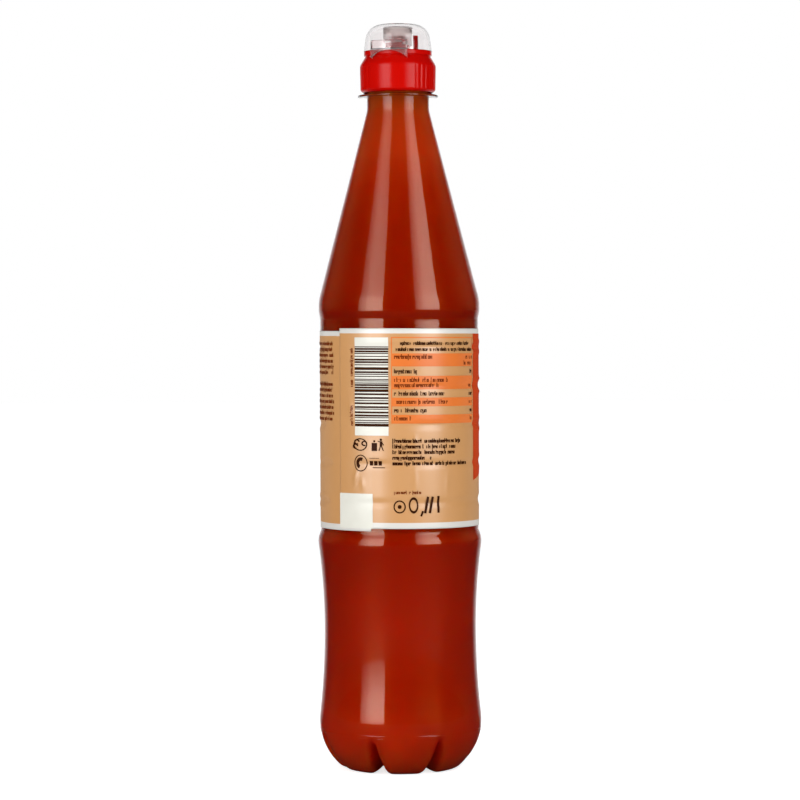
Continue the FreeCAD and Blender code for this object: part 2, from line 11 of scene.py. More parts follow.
import bpy
import numpy as np
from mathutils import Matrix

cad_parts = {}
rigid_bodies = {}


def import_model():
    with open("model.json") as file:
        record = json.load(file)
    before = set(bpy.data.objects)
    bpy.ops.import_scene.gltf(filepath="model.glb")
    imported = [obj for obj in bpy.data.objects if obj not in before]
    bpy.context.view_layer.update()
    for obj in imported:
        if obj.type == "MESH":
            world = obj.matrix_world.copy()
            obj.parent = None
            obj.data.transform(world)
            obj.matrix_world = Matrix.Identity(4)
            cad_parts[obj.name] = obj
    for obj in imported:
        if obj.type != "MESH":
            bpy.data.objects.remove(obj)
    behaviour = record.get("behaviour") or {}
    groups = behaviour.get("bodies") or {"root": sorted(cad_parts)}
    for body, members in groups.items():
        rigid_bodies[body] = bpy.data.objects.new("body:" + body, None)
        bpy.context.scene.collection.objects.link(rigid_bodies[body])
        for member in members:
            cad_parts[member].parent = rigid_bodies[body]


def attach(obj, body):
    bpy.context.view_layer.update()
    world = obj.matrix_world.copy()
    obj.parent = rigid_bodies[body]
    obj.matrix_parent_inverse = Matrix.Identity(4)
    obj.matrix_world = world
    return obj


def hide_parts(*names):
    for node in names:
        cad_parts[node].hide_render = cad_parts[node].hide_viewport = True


bl_info = {
    "name": "Syrup Bottle",
    "version": (1, 0, 0),
    "blender": (4, 5, 0),
    "location": "3D View > Sidebar > Syrup",
    "description": "Finishes a bottle of fruit syrup: wall, syrup, label, cap and overcap",
    "category": "Object",
}

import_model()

MM = 0.001
TURN = 2 * math.pi

# Radii of the bottle's outer face
HEEL, WAIST, BEAD, PANEL, SHOULDER = 33.05, 31.0, 33.4, 32.2, 32.8
NECK, RING, FINISH, BORE = 12.6, 16.3, 12.4, 10.9

# Heights of the bottle
HEEL_Z, WAIST_Z, BEAD_Z, PANEL_TOP, SHOULDER_TOP = 20.0, 57.5, 92.8, 183.4, 190.8
CONE_TOP, RING_Z, RING_TOP, RIM_Z, SYRUP_Z = 268.0, 273.2, 274.8, 289.8, 281.0
RING_LIP, SHOULDER_STEP = 0.8, 2.8

# Bends of the outline
HEEL_BEND, FOOT_BEND, BEAD_BEND, SHOULDER_BEND, NECK_BEND = 25.0, 7.0, 9.0, 17.0, 8.0
HEEL_AT, BEAD_AT = HEEL - HEEL_BEND, BEAD - BEAD_BEND
FOOT_AT = HEEL_AT + math.sqrt((HEEL_BEND - FOOT_BEND) ** 2 - (HEEL_Z - FOOT_BEND) ** 2)
RIM_BEND = 0.5

# The base: seven feet with a valley between each two
FEET, FOOT_TURN, PAD, RECESS = 7, 4.5, 2.6, 5.5
VALLEY_LINE, VALLEY_MIDDLE, VALLEY_BEND, VALLEY_SLANT = 79.27, 7.0, 1.1, math.radians(11)
FOOT_SHARE = TURN / FEET
FIRST_VALLEY = math.radians(FOOT_TURN) + FOOT_SHARE / 2
PARTING_LINES = ((16.5, 1.0), (15.4, 0.6))

# Grooves round the panel under the label
GROOVES = np.linspace(109.8, 171.8, 5)
GROOVE_DEPTH, GROOVE_BEND = 0.45, 3.0

# The neck's thread
THREAD_Z, THREAD_PITCH, THREAD_TURNS = 278.3, 2.7, 1.6
THREAD_ROOT, THREAD_CREST, THREAD_DEPTH = 1.6, 0.54, 1.2
THREAD_FOOT, THREAD_TOP = RING_TOP + 1.5, RIM_Z - 3.6

# Scene-linear colours of the syrup at a few heights: its own deep red, with painted glow that makes it
# lighter and more orange in the thin neck and in the feet, as where light shines through, and darkest at the
# shoulder
SYRUP_COLOURS_AND_PAINTED_GLOW = (
    (4, (0.90, 0.080, 0.008)),
    (14, (0.84, 0.045, 0.003)),
    (28, (0.64, 0.024, 0.001)),
    (70, (0.64, 0.020, 0.0)),
    (96, (0.57, 0.018, 0.0)),
    (180, (0.46, 0.014, 0.0)),
    (220, (0.55, 0.020, 0.0)),
    (236, (0.62, 0.028, 0.0)),
    (250, (0.76, 0.065, 0.006)),
    (264, (0.72, 0.070, 0.006)),
    (272, (0.60, 0.085, 0.006)),
)

WALL = 0.5
OUTLINE_STEP = 0.1

# The label
FILM, LABEL_Z, LABEL_HEIGHT, LABEL_DROP = 0.15, 99.69, 79.81, 1.2
LABEL_START, LABEL_LAP = math.radians(-47.2), math.radians(26.4)
LABEL_RADIUS = PANEL + FILM
LABEL_TURN = TURN * LABEL_RADIUS
LAP = LABEL_LAP * LABEL_RADIUS
LABEL_LENGTH = LABEL_TURN + LAP
TOP_BAND, FOOT_BAND = 2.0, 2.4

# Hollows in each groove: the azimuths of their middles in degrees, how far they reach round and up
HOLLOWS, HOLLOW_TURN, HOLLOW_RISE = (-74, 84, 196), math.radians(14), 2.3

# Soft upright creases: place along the film, height of the middle, width, reach, slant and rise
CREASES = (
    (32.6, 34.6, 0.9, 3.4, 0.12, 0.24),
    (32.9, 19.0, 0.9, 6.2, -0.03, 0.2),
    (5.9, 47.0, 0.9, 4.2, -0.16, 0.24),
    (8.2, 20.5, 0.9, 4.4, 0.2, 0.3),
    (11.4, 17.5, 0.9, 3.2, -0.1, 0.2),
    (47.0, 17.5, 0.9, 7.0, 0.05, 0.09),
    (95.0, 30.0, 0.8, 9.0, 0.1, 0.1),
    (140.0, 52.0, 0.8, 7.0, -0.1, 0.1),
    (177.0, 24.0, 0.8, 8.0, 0.1, 0.12),
)

# Places of the print, as lengths along the film from its start and heights over its lower edge
CODE_LEFT, CODE_RIGHT, CODE_FOOT, CODE_TOP = 8.0, 22.3, 40.7, 72.6
WINDOW_FOOT, WINDOW_TOP = 37.1, 76.2
TABLE_LEFT, TABLE_RIGHT, TABLE_FOOT, TABLE_TOP = 23.4, 63.2, 41.9, 76.4
RULE = 0.4
TABLE_ROWS = ((64.7, 69.85), (55.6, 60.93), (48.8, 52.26), (41.95, 45.45))
ROW_LEFT, ROW_RIGHT = 24.6, 62.9
FIELD_LEFT, FIELD_RIGHT, FIELD_FOOT = 64.1, 172, 18.5
FRUITS = ((90, 46, 10), (112, 39, 11), (133, 46.5, 11), (152, 39, 8.5))

# The cap, with heights from the foot of its skirt
CAP_TURN, CAP_Z = math.radians(-12), 275.0
SKIRT_FOOT, SKIRT_TOP, PINCH, COLLAR = 15.25, 15.45, 13.1, 13.8
THREAD_BORE, NECK_BORE = 14.0, 12.6
CAP_DEPTH, DECK, CAP_EDGE, COLLAR_FOOT, BORE_TOP = 14.8, 16.9, 11.2, 15.0, 9.62
GRIPS, GRIP_TOP, SMOOTH_FRONT = 32, 10.9, math.radians(40)
SPOUT, SPOUT_TOP, SPOUT_BORE, SPOUT_FLOOR, SPOUT_LIP = 5.1, 23.0, 2.2, 18.6, 1.6
POST_AT, POST_WIDTH, POST_HEIGHT = 6.45, 1.9, 6.4

# The overcap, with heights from its foot on the deck
OVERCAP_Z = 291.9
DOME, ROOF, DOME_HEIGHT, DOME_CROWN, DOME_BEND, DOME_WALL = 13.9, 12.5, 11.4, 1.5, 6.4, 1.0
SLEEVE_BORE, SLEEVE, SLEEVE_LIFT = 5.3, 5.9, 2.2
TAB_BACK, TAB_FACE, TAB_RISE, TAB_DROP, TAB_BRIDGE = 14.4, 15.3, 3.6, 3.6, 0.5
TAB_TURN, TAB_HALF, TAB_COLUMNS = math.radians(-16), math.radians(31), 49


# ---------------------------------------------------------------- surfaces


def turned(radius, azimuth, height):
    """Points at a radius, an azimuth from the front towards +X and a height. The arrays are broadcast."""
    radius, azimuth, height = np.broadcast_arrays(radius, azimuth, height)
    return np.stack([radius * np.sin(azimuth), -radius * np.cos(azimuth), height], axis=-1)


def radius_and_azimuth(points):
    """How far points lie from the bottle's axis, and their azimuth from the front towards +X."""
    x, y = points[..., 0], points[..., 1]
    return np.hypot(x, y), np.arctan2(x, -y)


def moved_out(points, outward):
    """Points moved level, away from the bottle's axis."""
    radius, azimuth = radius_and_azimuth(points)
    share = (1 + outward / np.maximum(radius, 1))[..., None]
    return points * np.concatenate([share, share, np.ones_like(share)], axis=-1)


def smoothstep(value):
    """Rises from 0 to 1 as the value goes from 0 to 1, level at both ends."""
    value = np.clip(value, 0, 1)
    return value * value * (3 - 2 * value)


def bell(value):
    """1 at the middle, falling away evenly on both sides."""
    return np.exp(-(value**2))


def from_nearest(value, first, pitch):
    """How far a value lies from the nearest of an endless row of places."""
    return (value - first + pitch / 2) % pitch - pitch / 2


def arc(centre, bend, first, last):
    """Points of an outline along an arc, from the first to the last angle in degrees, level being 0."""
    sweep = math.radians(abs(last - first)) * bend
    angle = np.radians(np.linspace(first, last, max(2, int(sweep / OUTLINE_STEP) + 1)))
    return np.stack([centre[0] + bend * np.cos(angle), centre[1] + bend * np.sin(angle)], axis=1)


def line(start, end):
    """Points of an outline along a straight line."""
    length = math.hypot(end[0] - start[0], end[1] - start[1])
    return np.linspace(start, end, max(2, int(length / OUTLINE_STEP) + 1))


def polyline(*corners):
    """Points of an outline along the straight lines between corners."""
    return np.concatenate([line(start, end) for start, end in zip(corners[:-1], corners[1:])])


def even_steps(outline):
    """The outline resampled at an even step along its length."""
    length = np.concatenate([[0], np.cumsum(np.hypot(*np.diff(outline, axis=0).T))])
    places = np.linspace(0, length[-1], int(length[-1] / OUTLINE_STEP) + 1)
    return np.stack([np.interp(places, length, outline[:, k]) for k in (0, 1)], axis=1)


def soften(outline, reach):
    """The outline's corners rounded by a running bell-shaped mean; its two ends stay where they are."""
    half = int(4 * reach / OUTLINE_STEP)
    weights = bell(np.arange(-half, half + 1) * OUTLINE_STEP / (reach * math.sqrt(2)))
    weights /= weights.sum()
    before = 2 * outline[0] - outline[half:0:-1]
    after = 2 * outline[-1] - outline[-2 : -half - 2 : -1]
    padded = np.concatenate([before, outline, after])
    return np.stack([np.convolve(padded[:, k], weights, "valid") for k in (0, 1)], axis=1)


def rounded(corners, reach):
    """A straight-sided outline through the corners, resampled and with its corners softened."""
    return soften(even_steps(polyline(*corners)), reach)


def inset_by(outline, inset):
    """The outline moved to the left of its own direction, which is inwards where it runs up."""
    along = np.gradient(outline, axis=0)
    along /= np.hypot(*along.T)[:, None]
    return outline + inset * np.stack([-along[:, 1], along[:, 0]], axis=1)


def thin_out(outline, spacing, turn):
    """Only as many points as the outline's length (one each spacing) and bends (one each turn) need."""
    step = np.diff(outline, axis=0)
    heading = np.unwrap(np.arctan2(step[:, 1], step[:, 0]))
    bend = np.abs(np.diff(heading, prepend=heading[0]))
    need = np.cumsum(np.hypot(*step.T) / spacing + bend / math.radians(turn))
    wanted = np.linspace(0, need[-1], int(need[-1]) + 1)
    picked = np.searchsorted(need, wanted)
    return outline[np.unique(np.concatenate([[0], picked, [len(outline) - 1]]))]


def revolved(outline, azimuths):
    """The grid of an outline turned about the bottle's axis: a row for each of its points."""
    return turned(outline[:, :1], azimuths, outline[:, 1:])


def quads_between(low, high, column, beside):
    """Quads from each low row to its high row, between each column and the one beside it."""
    return np.stack([low + column, low + beside, high + beside, high + column], axis=-1).reshape(-1, 4)


def sheet_faces(rows, columns, wraps=False, first=0):
    """Quads between neighbouring points of a grid; when it wraps, its last column joins its first."""
    steps = columns if wraps else columns - 1
    row, column = np.meshgrid(np.arange(rows - 1), np.arange(steps), indexing="ij")
    return first + quads_between(row * columns, (row + 1) * columns, column, (column + 1) % columns)


def band_faces(rows, columns):
    """Faces of a band: its rows go round a closed section, its columns run along it, its ends are shut."""
    column = np.arange(columns - 1)
    low = np.arange(rows) * columns
    around = quads_between(low[:, None], np.roll(low, -1)[:, None], column, column + 1)
    return around.tolist() + [low.tolist(), (low + columns - 1)[::-1].tolist()]


def closed_round(points):
    """Vertices and faces of a grid that wraps round and comes to a point in its first and last row."""
    rows, columns, _ = points.shape
    vertices = np.concatenate([points[0, :1], points[1:-1].reshape(-1, 3), points[-1, :1]])
    column = np.arange(columns)
    beside = (column + 1) % columns
    last = len(vertices) - 1
    under = np.stack([np.zeros_like(column), 1 + beside, 1 + column], axis=1)
    over = np.stack([last - columns + column, last - columns + beside, np.full_like(column, last)], axis=1)
    return vertices, sheet_faces(rows - 2, columns, True, 1).tolist() + under.tolist() + over.tolist()


def add_piece(name, vertices, faces, materials, node, slot):
    """A mesh object of the finished bottle, which stands for a node of the frame."""
    mesh = bpy.data.meshes.new(name)
    mesh.from_pydata(np.asarray(vertices) * MM, [], faces)
    mesh.update(calc_edges=True)
    mesh.shade_smooth()
    mesh.set_sharp_from_angle(angle=math.radians(35))
    for made in materials:
        mesh.materials.append(made)
    piece = bpy.data.objects.new(name, mesh)
    bpy.context.scene.collection.objects.link(piece)
    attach(piece, "root")
    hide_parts(node)
    return piece


# ---------------------------------------------------------------- materials


def new_material(name, **settings):
    """A material with the Principled shader, its sockets set by name, and the nodes to add to."""
    made = bpy.data.materials.new(name)
    made.use_nodes = True
    shader = made.node_tree.nodes["Principled BSDF"]
    for socket, value in settings.items():
        shader.inputs[socket.replace("_", " ")].default_value = value
    return made, made.node_tree, shader


def coordinate(tree, output, axis, direction=False):
    """One coordinate of the place that is shaded, or of the direction to it from the origin."""
    place = tree.nodes.new("ShaderNodeTexCoord").outputs[output]
    if direction:
        unit = tree.nodes.new("ShaderNodeVectorMath")
        unit.operation = "NORMALIZE"
        tree.links.new(place, unit.inputs[0])
        place = unit.outputs["Vector"]
    parts = tree.nodes.new("ShaderNodeSeparateXYZ")
    tree.links.new(place, parts.inputs["Vector"])
    return parts.outputs[axis]


def object_noise(tree, scale):
    """Noise in the piece's own coordinates."""
    place = tree.nodes.new("ShaderNodeTexCoord")
    noise = tree.nodes.new("ShaderNodeTexNoise")
    noise.inputs["Scale"].default_value = scale
    noise.inputs["Detail"].default_value = 3.0
    tree.links.new(place.outputs["Object"], noise.inputs["Vector"])
    return noise.outputs["Fac"]


def remap(tree, source, low, high, start=0.3, end=0.7):
    """A value between low and high as the source goes from start to end."""
    node = tree.nodes.new("ShaderNodeMapRange")
    for socket, value in (("From Min", start), ("From Max", end), ("To Min", low), ("To Max", high)):
        node.inputs[socket].default_value = value
    tree.links.new(source, node.inputs["Value"])
    return node.outputs["Result"]


def mixed(tree, share, first, second):
    """A colour between two colours or sockets."""
    node = tree.nodes.new("ShaderNodeMix")
    node.data_type = "RGBA"
    tree.links.new(share, node.inputs["Factor"])
    for socket, colour in (("A", first), ("B", second)):
        entry = next(s for s in node.inputs if s.name == socket and s.type == "RGBA")
        if isinstance(colour, tuple):
            entry.default_value = (*colour, 1)
        else:
            tree.links.new(colour, entry)
    return next(s for s in node.outputs if s.type == "RGBA")


def combined(tree, operation, first, second):
    """Two values put together by a Math node."""
    node = tree.nodes.new("ShaderNodeMath")
    node.operation = operation
    tree.links.new(first, node.inputs[0])
    tree.links.new(second, node.inputs[1])
    return node.outputs[0]


def greater(tree, first, second):
    """The greater of two values."""
    return combined(tree, "MAXIMUM", first, second)


def product(tree, first, second):
    """The product of two values."""
    return combined(tree, "MULTIPLY", first, second)


def bumped(tree, shader, height, strength, distance):
    """Joins a bump to the shader; the distance is in metres."""
    bump = tree.nodes.new("ShaderNodeBump")
    bump.inputs["Strength"].default_value = strength
    bump.inputs["Distance"].default_value = distance
    tree.links.new(height, bump.inputs["Height"])
    tree.links.new(bump.outputs["Normal"], shader.inputs["Normal"])


def plastic(name, colour, shade, roughness, grain=0.0, satin=None, **settings):
    """An opaque plastic or ink: its colour drifts to a second shade, its gloss varies, and it may have a
    grain. A satin film is rougher where it is seen at a flat angle."""
    made, tree, shader = new_material(name, **settings)
    drift = remap(tree, object_noise(tree, 60), 0, 1)
    tree.links.new(mixed(tree, drift, colour, shade), shader.inputs["Base Color"])
    gloss = remap(tree, object_noise(tree, 120), roughness * 0.94, roughness * 1.06)
    if satin:
        facing = tree.nodes.new("ShaderNodeLayerWeight").outputs["Facing"]
        gloss = greater(tree, gloss, remap(tree, facing, 0, satin, 0.15, 0.6))
    tree.links.new(gloss, shader.inputs["Roughness"])
    if grain:
        bumped(tree, shader, object_noise(tree, 2500), 0.5, grain * MM)
    return made


def clear(name, tint, roughness, index, share=1.0):
    """A clear or milky plastic that bends the light by its index of refraction."""
    optics = {"Transmission_Weight": share, "Roughness": roughness, "IOR": index}
    return new_material(name, Base_Color=(*tint, 1), **optics)[0]


def syrup_material():
    """Syrup so deep in colour that it looks solid. Its colour has painted glow: it is lighter and more
    orange in the thin neck and in the feet, as where light shines through. It has clouds of pulp, light that
    spreads inside it, and a soft gloss tinted by its depth."""
    made, tree, shader = new_material(
        "syrup",
        Roughness=0.14,
        IOR=1.6,
        Specular_IOR_Level=0.36,
        Specular_Tint=(1.0, 0.4, 0.05, 1),
        Subsurface_Weight=1.0,
        Subsurface_Radius=(1.0, 0.25, 0.1),
        Subsurface_Scale=0.018,
    )
    # A colour ramp by height paints glow into the syrup's colour: lighter and more orange in the neck and
    # the feet
    ramp = tree.nodes.new("ShaderNodeValToRGB")
    elements = ramp.color_ramp.elements
    while len(elements) < len(SYRUP_COLOURS_AND_PAINTED_GLOW):
        elements.new(0.5)
    for element, (height, colour) in zip(elements, SYRUP_COLOURS_AND_PAINTED_GLOW):
        element.position = height / SYRUP_Z
        element.color = (*colour, 1)
    share = remap(tree, coordinate(tree, "Object", "Z"), 0, 1, 0, SYRUP_Z * MM)
    tree.links.new(share, ramp.inputs["Fac"])
    cloud = remap(tree, object_noise(tree, 22), 0, 0.3)
    deeper = mixed(tree, cloud, ramp.outputs["Color"], (0.3, 0.008, 0.0))
    tree.links.new(deeper, shader.inputs["Base Color"])
    return made


# ---------------------------------------------------------------- the stage


def ray(tree, name):
    """A value of the ray that is being followed."""
    return tree.nodes.new("ShaderNodeLightPath").outputs[name]


def none_yet(tree, count):
    """1 while a count of bounces is 0, and 0 after the first."""
    return remap(tree, count, 1, 0, 0.4, 0.6)


def some_already(tree, count):
    """0 while a count of bounces is 0, and 1 after the first."""
    return remap(tree, count, 0, 1, 0.4, 0.6)


def floor_material(glow, strength):
    """A pale matt floor. The camera, also through clear plastic, sees it glow white but for the bottle's
    shadow. It takes its part in the soft light from all round, and reflections see it white behind the
    bottle and dark in front, like the surround."""
    made, tree, shader = new_material("floor", Roughness=0.9)
    glossy = ray(tree, "Is Glossy Ray")
    bounces = greater(tree, ray(tree, "Diffuse Depth"), ray(tree, "Glossy Depth"))
    through = product(tree, ray(tree, "Is Transmission Ray"), none_yet(tree, bounces))
    plain = greater(tree, ray(tree, "Is Camera Ray"), through)
    tree.links.new(mixed(tree, glossy, (0.8, 0.8, 0.8), (0.03, 0.03, 0.03)), shader.inputs["Base Color"])
    behind = remap(tree, coordinate(tree, "Object", "Y", True), 0, 1, 0.75, 0.96)
    reflected = product(tree, glossy, behind)
    soft = product(tree, remap(tree, glossy, strength, 0, 0, 1), remap(tree, plain, 1, 0, 0, 1))
    seen = remap(tree, plain, 0, glow, 0, 1)
    shader.inputs["Emission Color"].default_value = (1, 1, 1, 1)
    brightest = greater(tree, greater(tree, seen, reflected), soft)
    tree.links.new(brightest, shader.inputs["Emission Strength"])
    return made


def surround(strength):
    """Soft light from all round. To the camera, and through clear plastic, it shows as plain white.
    Reflections see it white behind the bottle and dark in front, as in a studio."""
    world = bpy.data.worlds.new("surround")
    world.use_nodes = True
    tree = world.node_tree
    way = coordinate(tree, "Generated", "Y")
    behind = remap(tree, way, 0, 1, 0.78, 0.98)
    straight = none_yet(tree, ray(tree, "Glossy Depth"))
    inside = some_already(tree, ray(tree, "Transmission Depth"))
    through = product(tree, inside, remap(tree, way, 0, 1, -0.1, 0.5))
    seen = greater(tree, greater(tree, behind, straight), through)
    both = tree.nodes.new("ShaderNodeMix")
    both.inputs["B"].default_value = strength
    tree.links.new(some_already(tree, ray(tree, "Diffuse Depth")), both.inputs["Factor"])
    tree.links.new(seen, both.inputs["A"])
    tree.links.new(both.outputs["Result"], tree.nodes["Background"].inputs["Strength"])
    tree.nodes["Background"].inputs["Color"].default_value = (1, 1, 1, 1)
    return world


def softbox(azimuth, foot, power):
    """A tall soft lamp a metre away, brightest low down and dimmer at its foot, top and left side."""
    height = 1.1
    lamp = bpy.data.lights.new("softbox", "AREA")
    lamp.shape = "RECTANGLE"
    lamp.size = 0.66
    lamp.size_y = height
    lamp.energy = power
    lamp.use_nodes = True
    tree = lamp.node_tree
    parts = tree.nodes.new("ShaderNodeSeparateXYZ")
    tree.links.new(tree.nodes.new("ShaderNodeNewGeometry").outputs["Parametric"], parts.inputs["Vector"])
    up, across = parts.outputs["Y"], parts.outputs["X"]
    high = remap(tree, up, 1.0, 0.3, 0.45, 0.8)
    low = remap(tree, up, 0.2, 1.0, 0.0, 0.06)
    side = remap(tree, across, 0.2, 1.0, 0.0, 0.45)
    share = product(tree, product(tree, high, low), side)
    tree.links.new(share, tree.nodes["Emission"].inputs["Strength"])
    made = bpy.data.objects.new("softbox", lamp)
    made.location = (math.sin(azimuth), -math.cos(azimuth), foot + height / 2)
    made.rotation_euler = (math.pi / 2, 0, azimuth)
    return made


# ---------------------------------------------------------------- the bottle's wall and the syrup


def waist_bend(at, height, bend):
    """The radius of the hollow arc that is upright at the waist and touches a bend of the heel or bead."""
    reach, rise = WAIST - at, WAIST_Z - height
    return (reach**2 + rise**2 - bend**2) / (2 * (bend - reach))


def groove_dip(height):
    """How deep the panel's grooves are at a height: arcs of a bend; above 0 only inside a groove."""
    from_groove = np.abs(height[..., None] - GROOVES).min(axis=-1)
    return np.sqrt(np.maximum(GROOVE_BEND**2 - from_groove**2, 0)) - (GROOVE_BEND - GROOVE_DEPTH)


def side_outline(inset, softness):
    """The bottle's side from the heel's widest part to the neck: arcs of the heel, waist and bead, the
    grooved panel, the step and bend of the shoulder, the cone, and the neck's bend."""
    lower = waist_bend(HEEL_AT, HEEL_Z, HEEL_BEND)
    upper = waist_bend(BEAD_AT, BEAD_Z, BEAD_BEND)
    lower_turn = math.degrees(math.atan2(WAIST_Z - HEEL_Z, WAIST + lower - HEEL_AT))
    upper_turn = math.degrees(math.atan2(BEAD_Z - WAIST_Z, WAIST + upper - BEAD_AT))
    bead_turn = math.degrees(math.acos((PANEL - BEAD_AT) / BEAD_BEND))
    panel_foot = BEAD_Z + BEAD_BEND * math.sin(math.radians(bead_turn))

    cone = math.atan((SHOULDER - NECK) / (CONE_TOP - SHOULDER_TOP))
    cone_turn = math.degrees(cone)
    shoulder = (SHOULDER - SHOULDER_BEND, SHOULDER_TOP - SHOULDER_BEND * math.tan(cone / 2))
    neck = (NECK + NECK_BEND, CONE_TOP + NECK_BEND * math.tan(cone / 2))
    step = PANEL_TOP + SHOULDER_STEP
    outline = np.concatenate(
        [
            arc((HEEL_AT, HEEL_Z), HEEL_BEND, -12, lower_turn),
            arc((WAIST + lower, WAIST_Z), lower, 180 + lower_turn, 180),
            arc((WAIST + upper, WAIST_Z), upper, 180, 180 - upper_turn),
            arc((BEAD_AT, BEAD_Z), BEAD_BEND, -upper_turn, bead_turn),
            polyline((PANEL, panel_foot), (PANEL, PANEL_TOP), (SHOULDER, step), (SHOULDER, shoulder[1])),
            arc(shoulder, SHOULDER_BEND, 0, cone_turn),
            arc(neck, NECK_BEND, 180 + cone_turn, 180),
            line((NECK, neck[1]), (NECK, neck[1] + 4)),
        ]
    )
    outline = even_steps(outline)
    outline[:, 0] -= np.maximum(groove_dip(outline[:, 1]), 0)
    outline = inset_by(soften(outline, softness), inset)
    return outline[(outline[:, 1] > HEEL_Z) & (outline[:, 1] < neck[1])]


def blended(first, second, bend):
    """The greater of two values, raised by a soft bend where they are nearly equal."""
    return np.maximum(first, second) + np.maximum(bend - np.abs(first - second), 0) ** 2 / (4 * bend)


def base_distance(points):
    """How far points lie outside the base (negative inside): the greater of the distance from the turned
    form and of the distance into a valley, the corner between the two filled by a soft bend. The turned form
    is the heel's bend, the feet's bend, a level ring to stand on and a recess that rises to the middle. A
    valley is a wedge with a rounded top, whose top line is an arc about a level line over the base."""
    x, y, z = np.moveaxis(points, -1, 0)
    radius = np.hypot(x, y)
    from_heel = np.hypot(radius - HEEL_AT, z - HEEL_Z) - HEEL_BEND
    from_foot = np.hypot(radius - FOOT_AT, z - FOOT_BEND) - FOOT_BEND
    reach, drop = FOOT_AT - HEEL_AT, HEEL_Z - FOOT_BEND
    outward = (radius - HEEL_AT) * drop - (HEEL_Z - z) * reach > 0
    slope = RECESS / (FOOT_AT - PAD)
    from_recess = (RECESS - slope * radius - z) / math.hypot(1, slope)
    from_floor = blended(-z, from_recess, 1.0)
    form = np.where(radius > FOOT_AT, np.where(outward, from_heel, from_foot), from_floor)

    azimuth = from_nearest(np.arctan2(x, -y), FIRST_VALLEY, FOOT_SHARE)
    along, across = radius * np.cos(azimuth), np.abs(radius * np.sin(azimuth))
    rise = VALLEY_LINE - (VALLEY_MIDDLE - VALLEY_BEND) - np.hypot(along, VALLEY_LINE - z)
    cosine, sine = math.cos(VALLEY_SLANT), math.sin(VALLEY_SLANT)
    over = rise * cosine - across * sine > 0
    valley = np.where(over, np.hypot(across, rise), across * cosine + rise * sine) - VALLEY_BEND
    return blended(form, -valley, 2.2)


def base_rows(dips, azimuths, inset):
    """The base: from the axis, level with the heel's widest part, a ray goes out at every dip and azimuth,
    and the point where it meets the surface is found by halving."""
    dip, azimuth = np.meshgrid(np.radians(dips), azimuths, indexing="ij")
    near, far = np.zeros_like(dip), np.full_like(dip, 2 * HEEL)
    for _ in range(32):
        middle = (near + far) / 2
        reached = turned(middle * np.cos(dip), azimuth, HEEL_Z - middle * np.sin(dip))
        inside = base_distance(reached) < -inset
        near, far = np.where(inside, middle, near), np.where(inside, far, middle)
    return turned(near * np.cos(dip), azimuth, HEEL_Z - near * np.sin(dip))


def bottle_azimuths(count):
    """Azimuths for the bottle's columns, closer together at the valleys of the base."""
    even = np.linspace(0, TURN, 8192, endpoint=False)
    from_valley = from_nearest(even, FIRST_VALLEY, FOOT_SHARE)
    wanted = np.cumsum(1 + 1.6 * bell(from_valley / math.radians(8)))
    return np.interp(np.arange(count) / count, (wanted - wanted[0]) / wanted[-1], even)


def moulded(points, wave, ridge=0.0):
    """The small unevenness of a blown wall: soft waves that fade out at the base and the neck, and the two
    fine parting lines of the base's mould."""
    azimuth = radius_and_azimuth(points)[1]
    height = points[..., 2]
    waves = np.sin(3 * azimuth + 0.7 + height / 31) * np.sin(height / 9.5 + 2 * np.sin(2 * azimuth))
    waves += np.sin(5 * azimuth - height / 23 + 1.9) * np.sin(height / 17 + 0.4)
    free = smoothstep((height - 22) / 12) * smoothstep((267 - height) / 20)
    lines = ridge * sum(share * bell((height - place) / 0.26) for place, share in PARTING_LINES)
    return moved_out(points, lines - wave * free * (2 + waves) / 4)


def neck_outline():
    """The neck's outer face from the cone's end up: the support ring, the finish and the rounded rim."""
    rim_foot = RIM_Z - RIM_BEND
    side = polyline(
        (NECK, CONE_TOP + 1.03),
        (NECK, RING_Z),
        (RING, RING_Z),
        (RING, RING_Z + RING_LIP),
        (FINISH, RING_TOP),
        (FINISH, rim_foot),
    )
    outer = arc((FINISH - RIM_BEND, rim_foot), RIM_BEND, 0, 90)
    inner = arc((BORE + RIM_BEND, rim_foot), RIM_BEND, 90, 180)
    return soften(even_steps(np.concatenate([side, outer, inner])), 0.12)


def threaded(points):
    """The finish with its thread: a ridge that climbs by the pitch each turn, its ends run out."""
    azimuth, height = radius_and_azimuth(points)[1], points[..., 2]
    start = ((azimuth / TURN) - 0.25) % 1
    ridge = np.zeros_like(height)
    for lap in range(math.ceil(THREAD_TURNS)):
        turns = start + lap
        middle = THREAD_Z + THREAD_ROOT / 2 + THREAD_PITCH * turns
        flank = (THREAD_ROOT / 2 - np.abs(height - middle)) / ((THREAD_ROOT - THREAD_CREST) / 2)
        run_out = smoothstep(turns / 0.05) * smoothstep((THREAD_TURNS - turns) / 0.05)
        ridge = np.maximum(ridge, THREAD_DEPTH * np.clip(flank, 0, 1) * run_out)
    return moved_out(points, ridge)


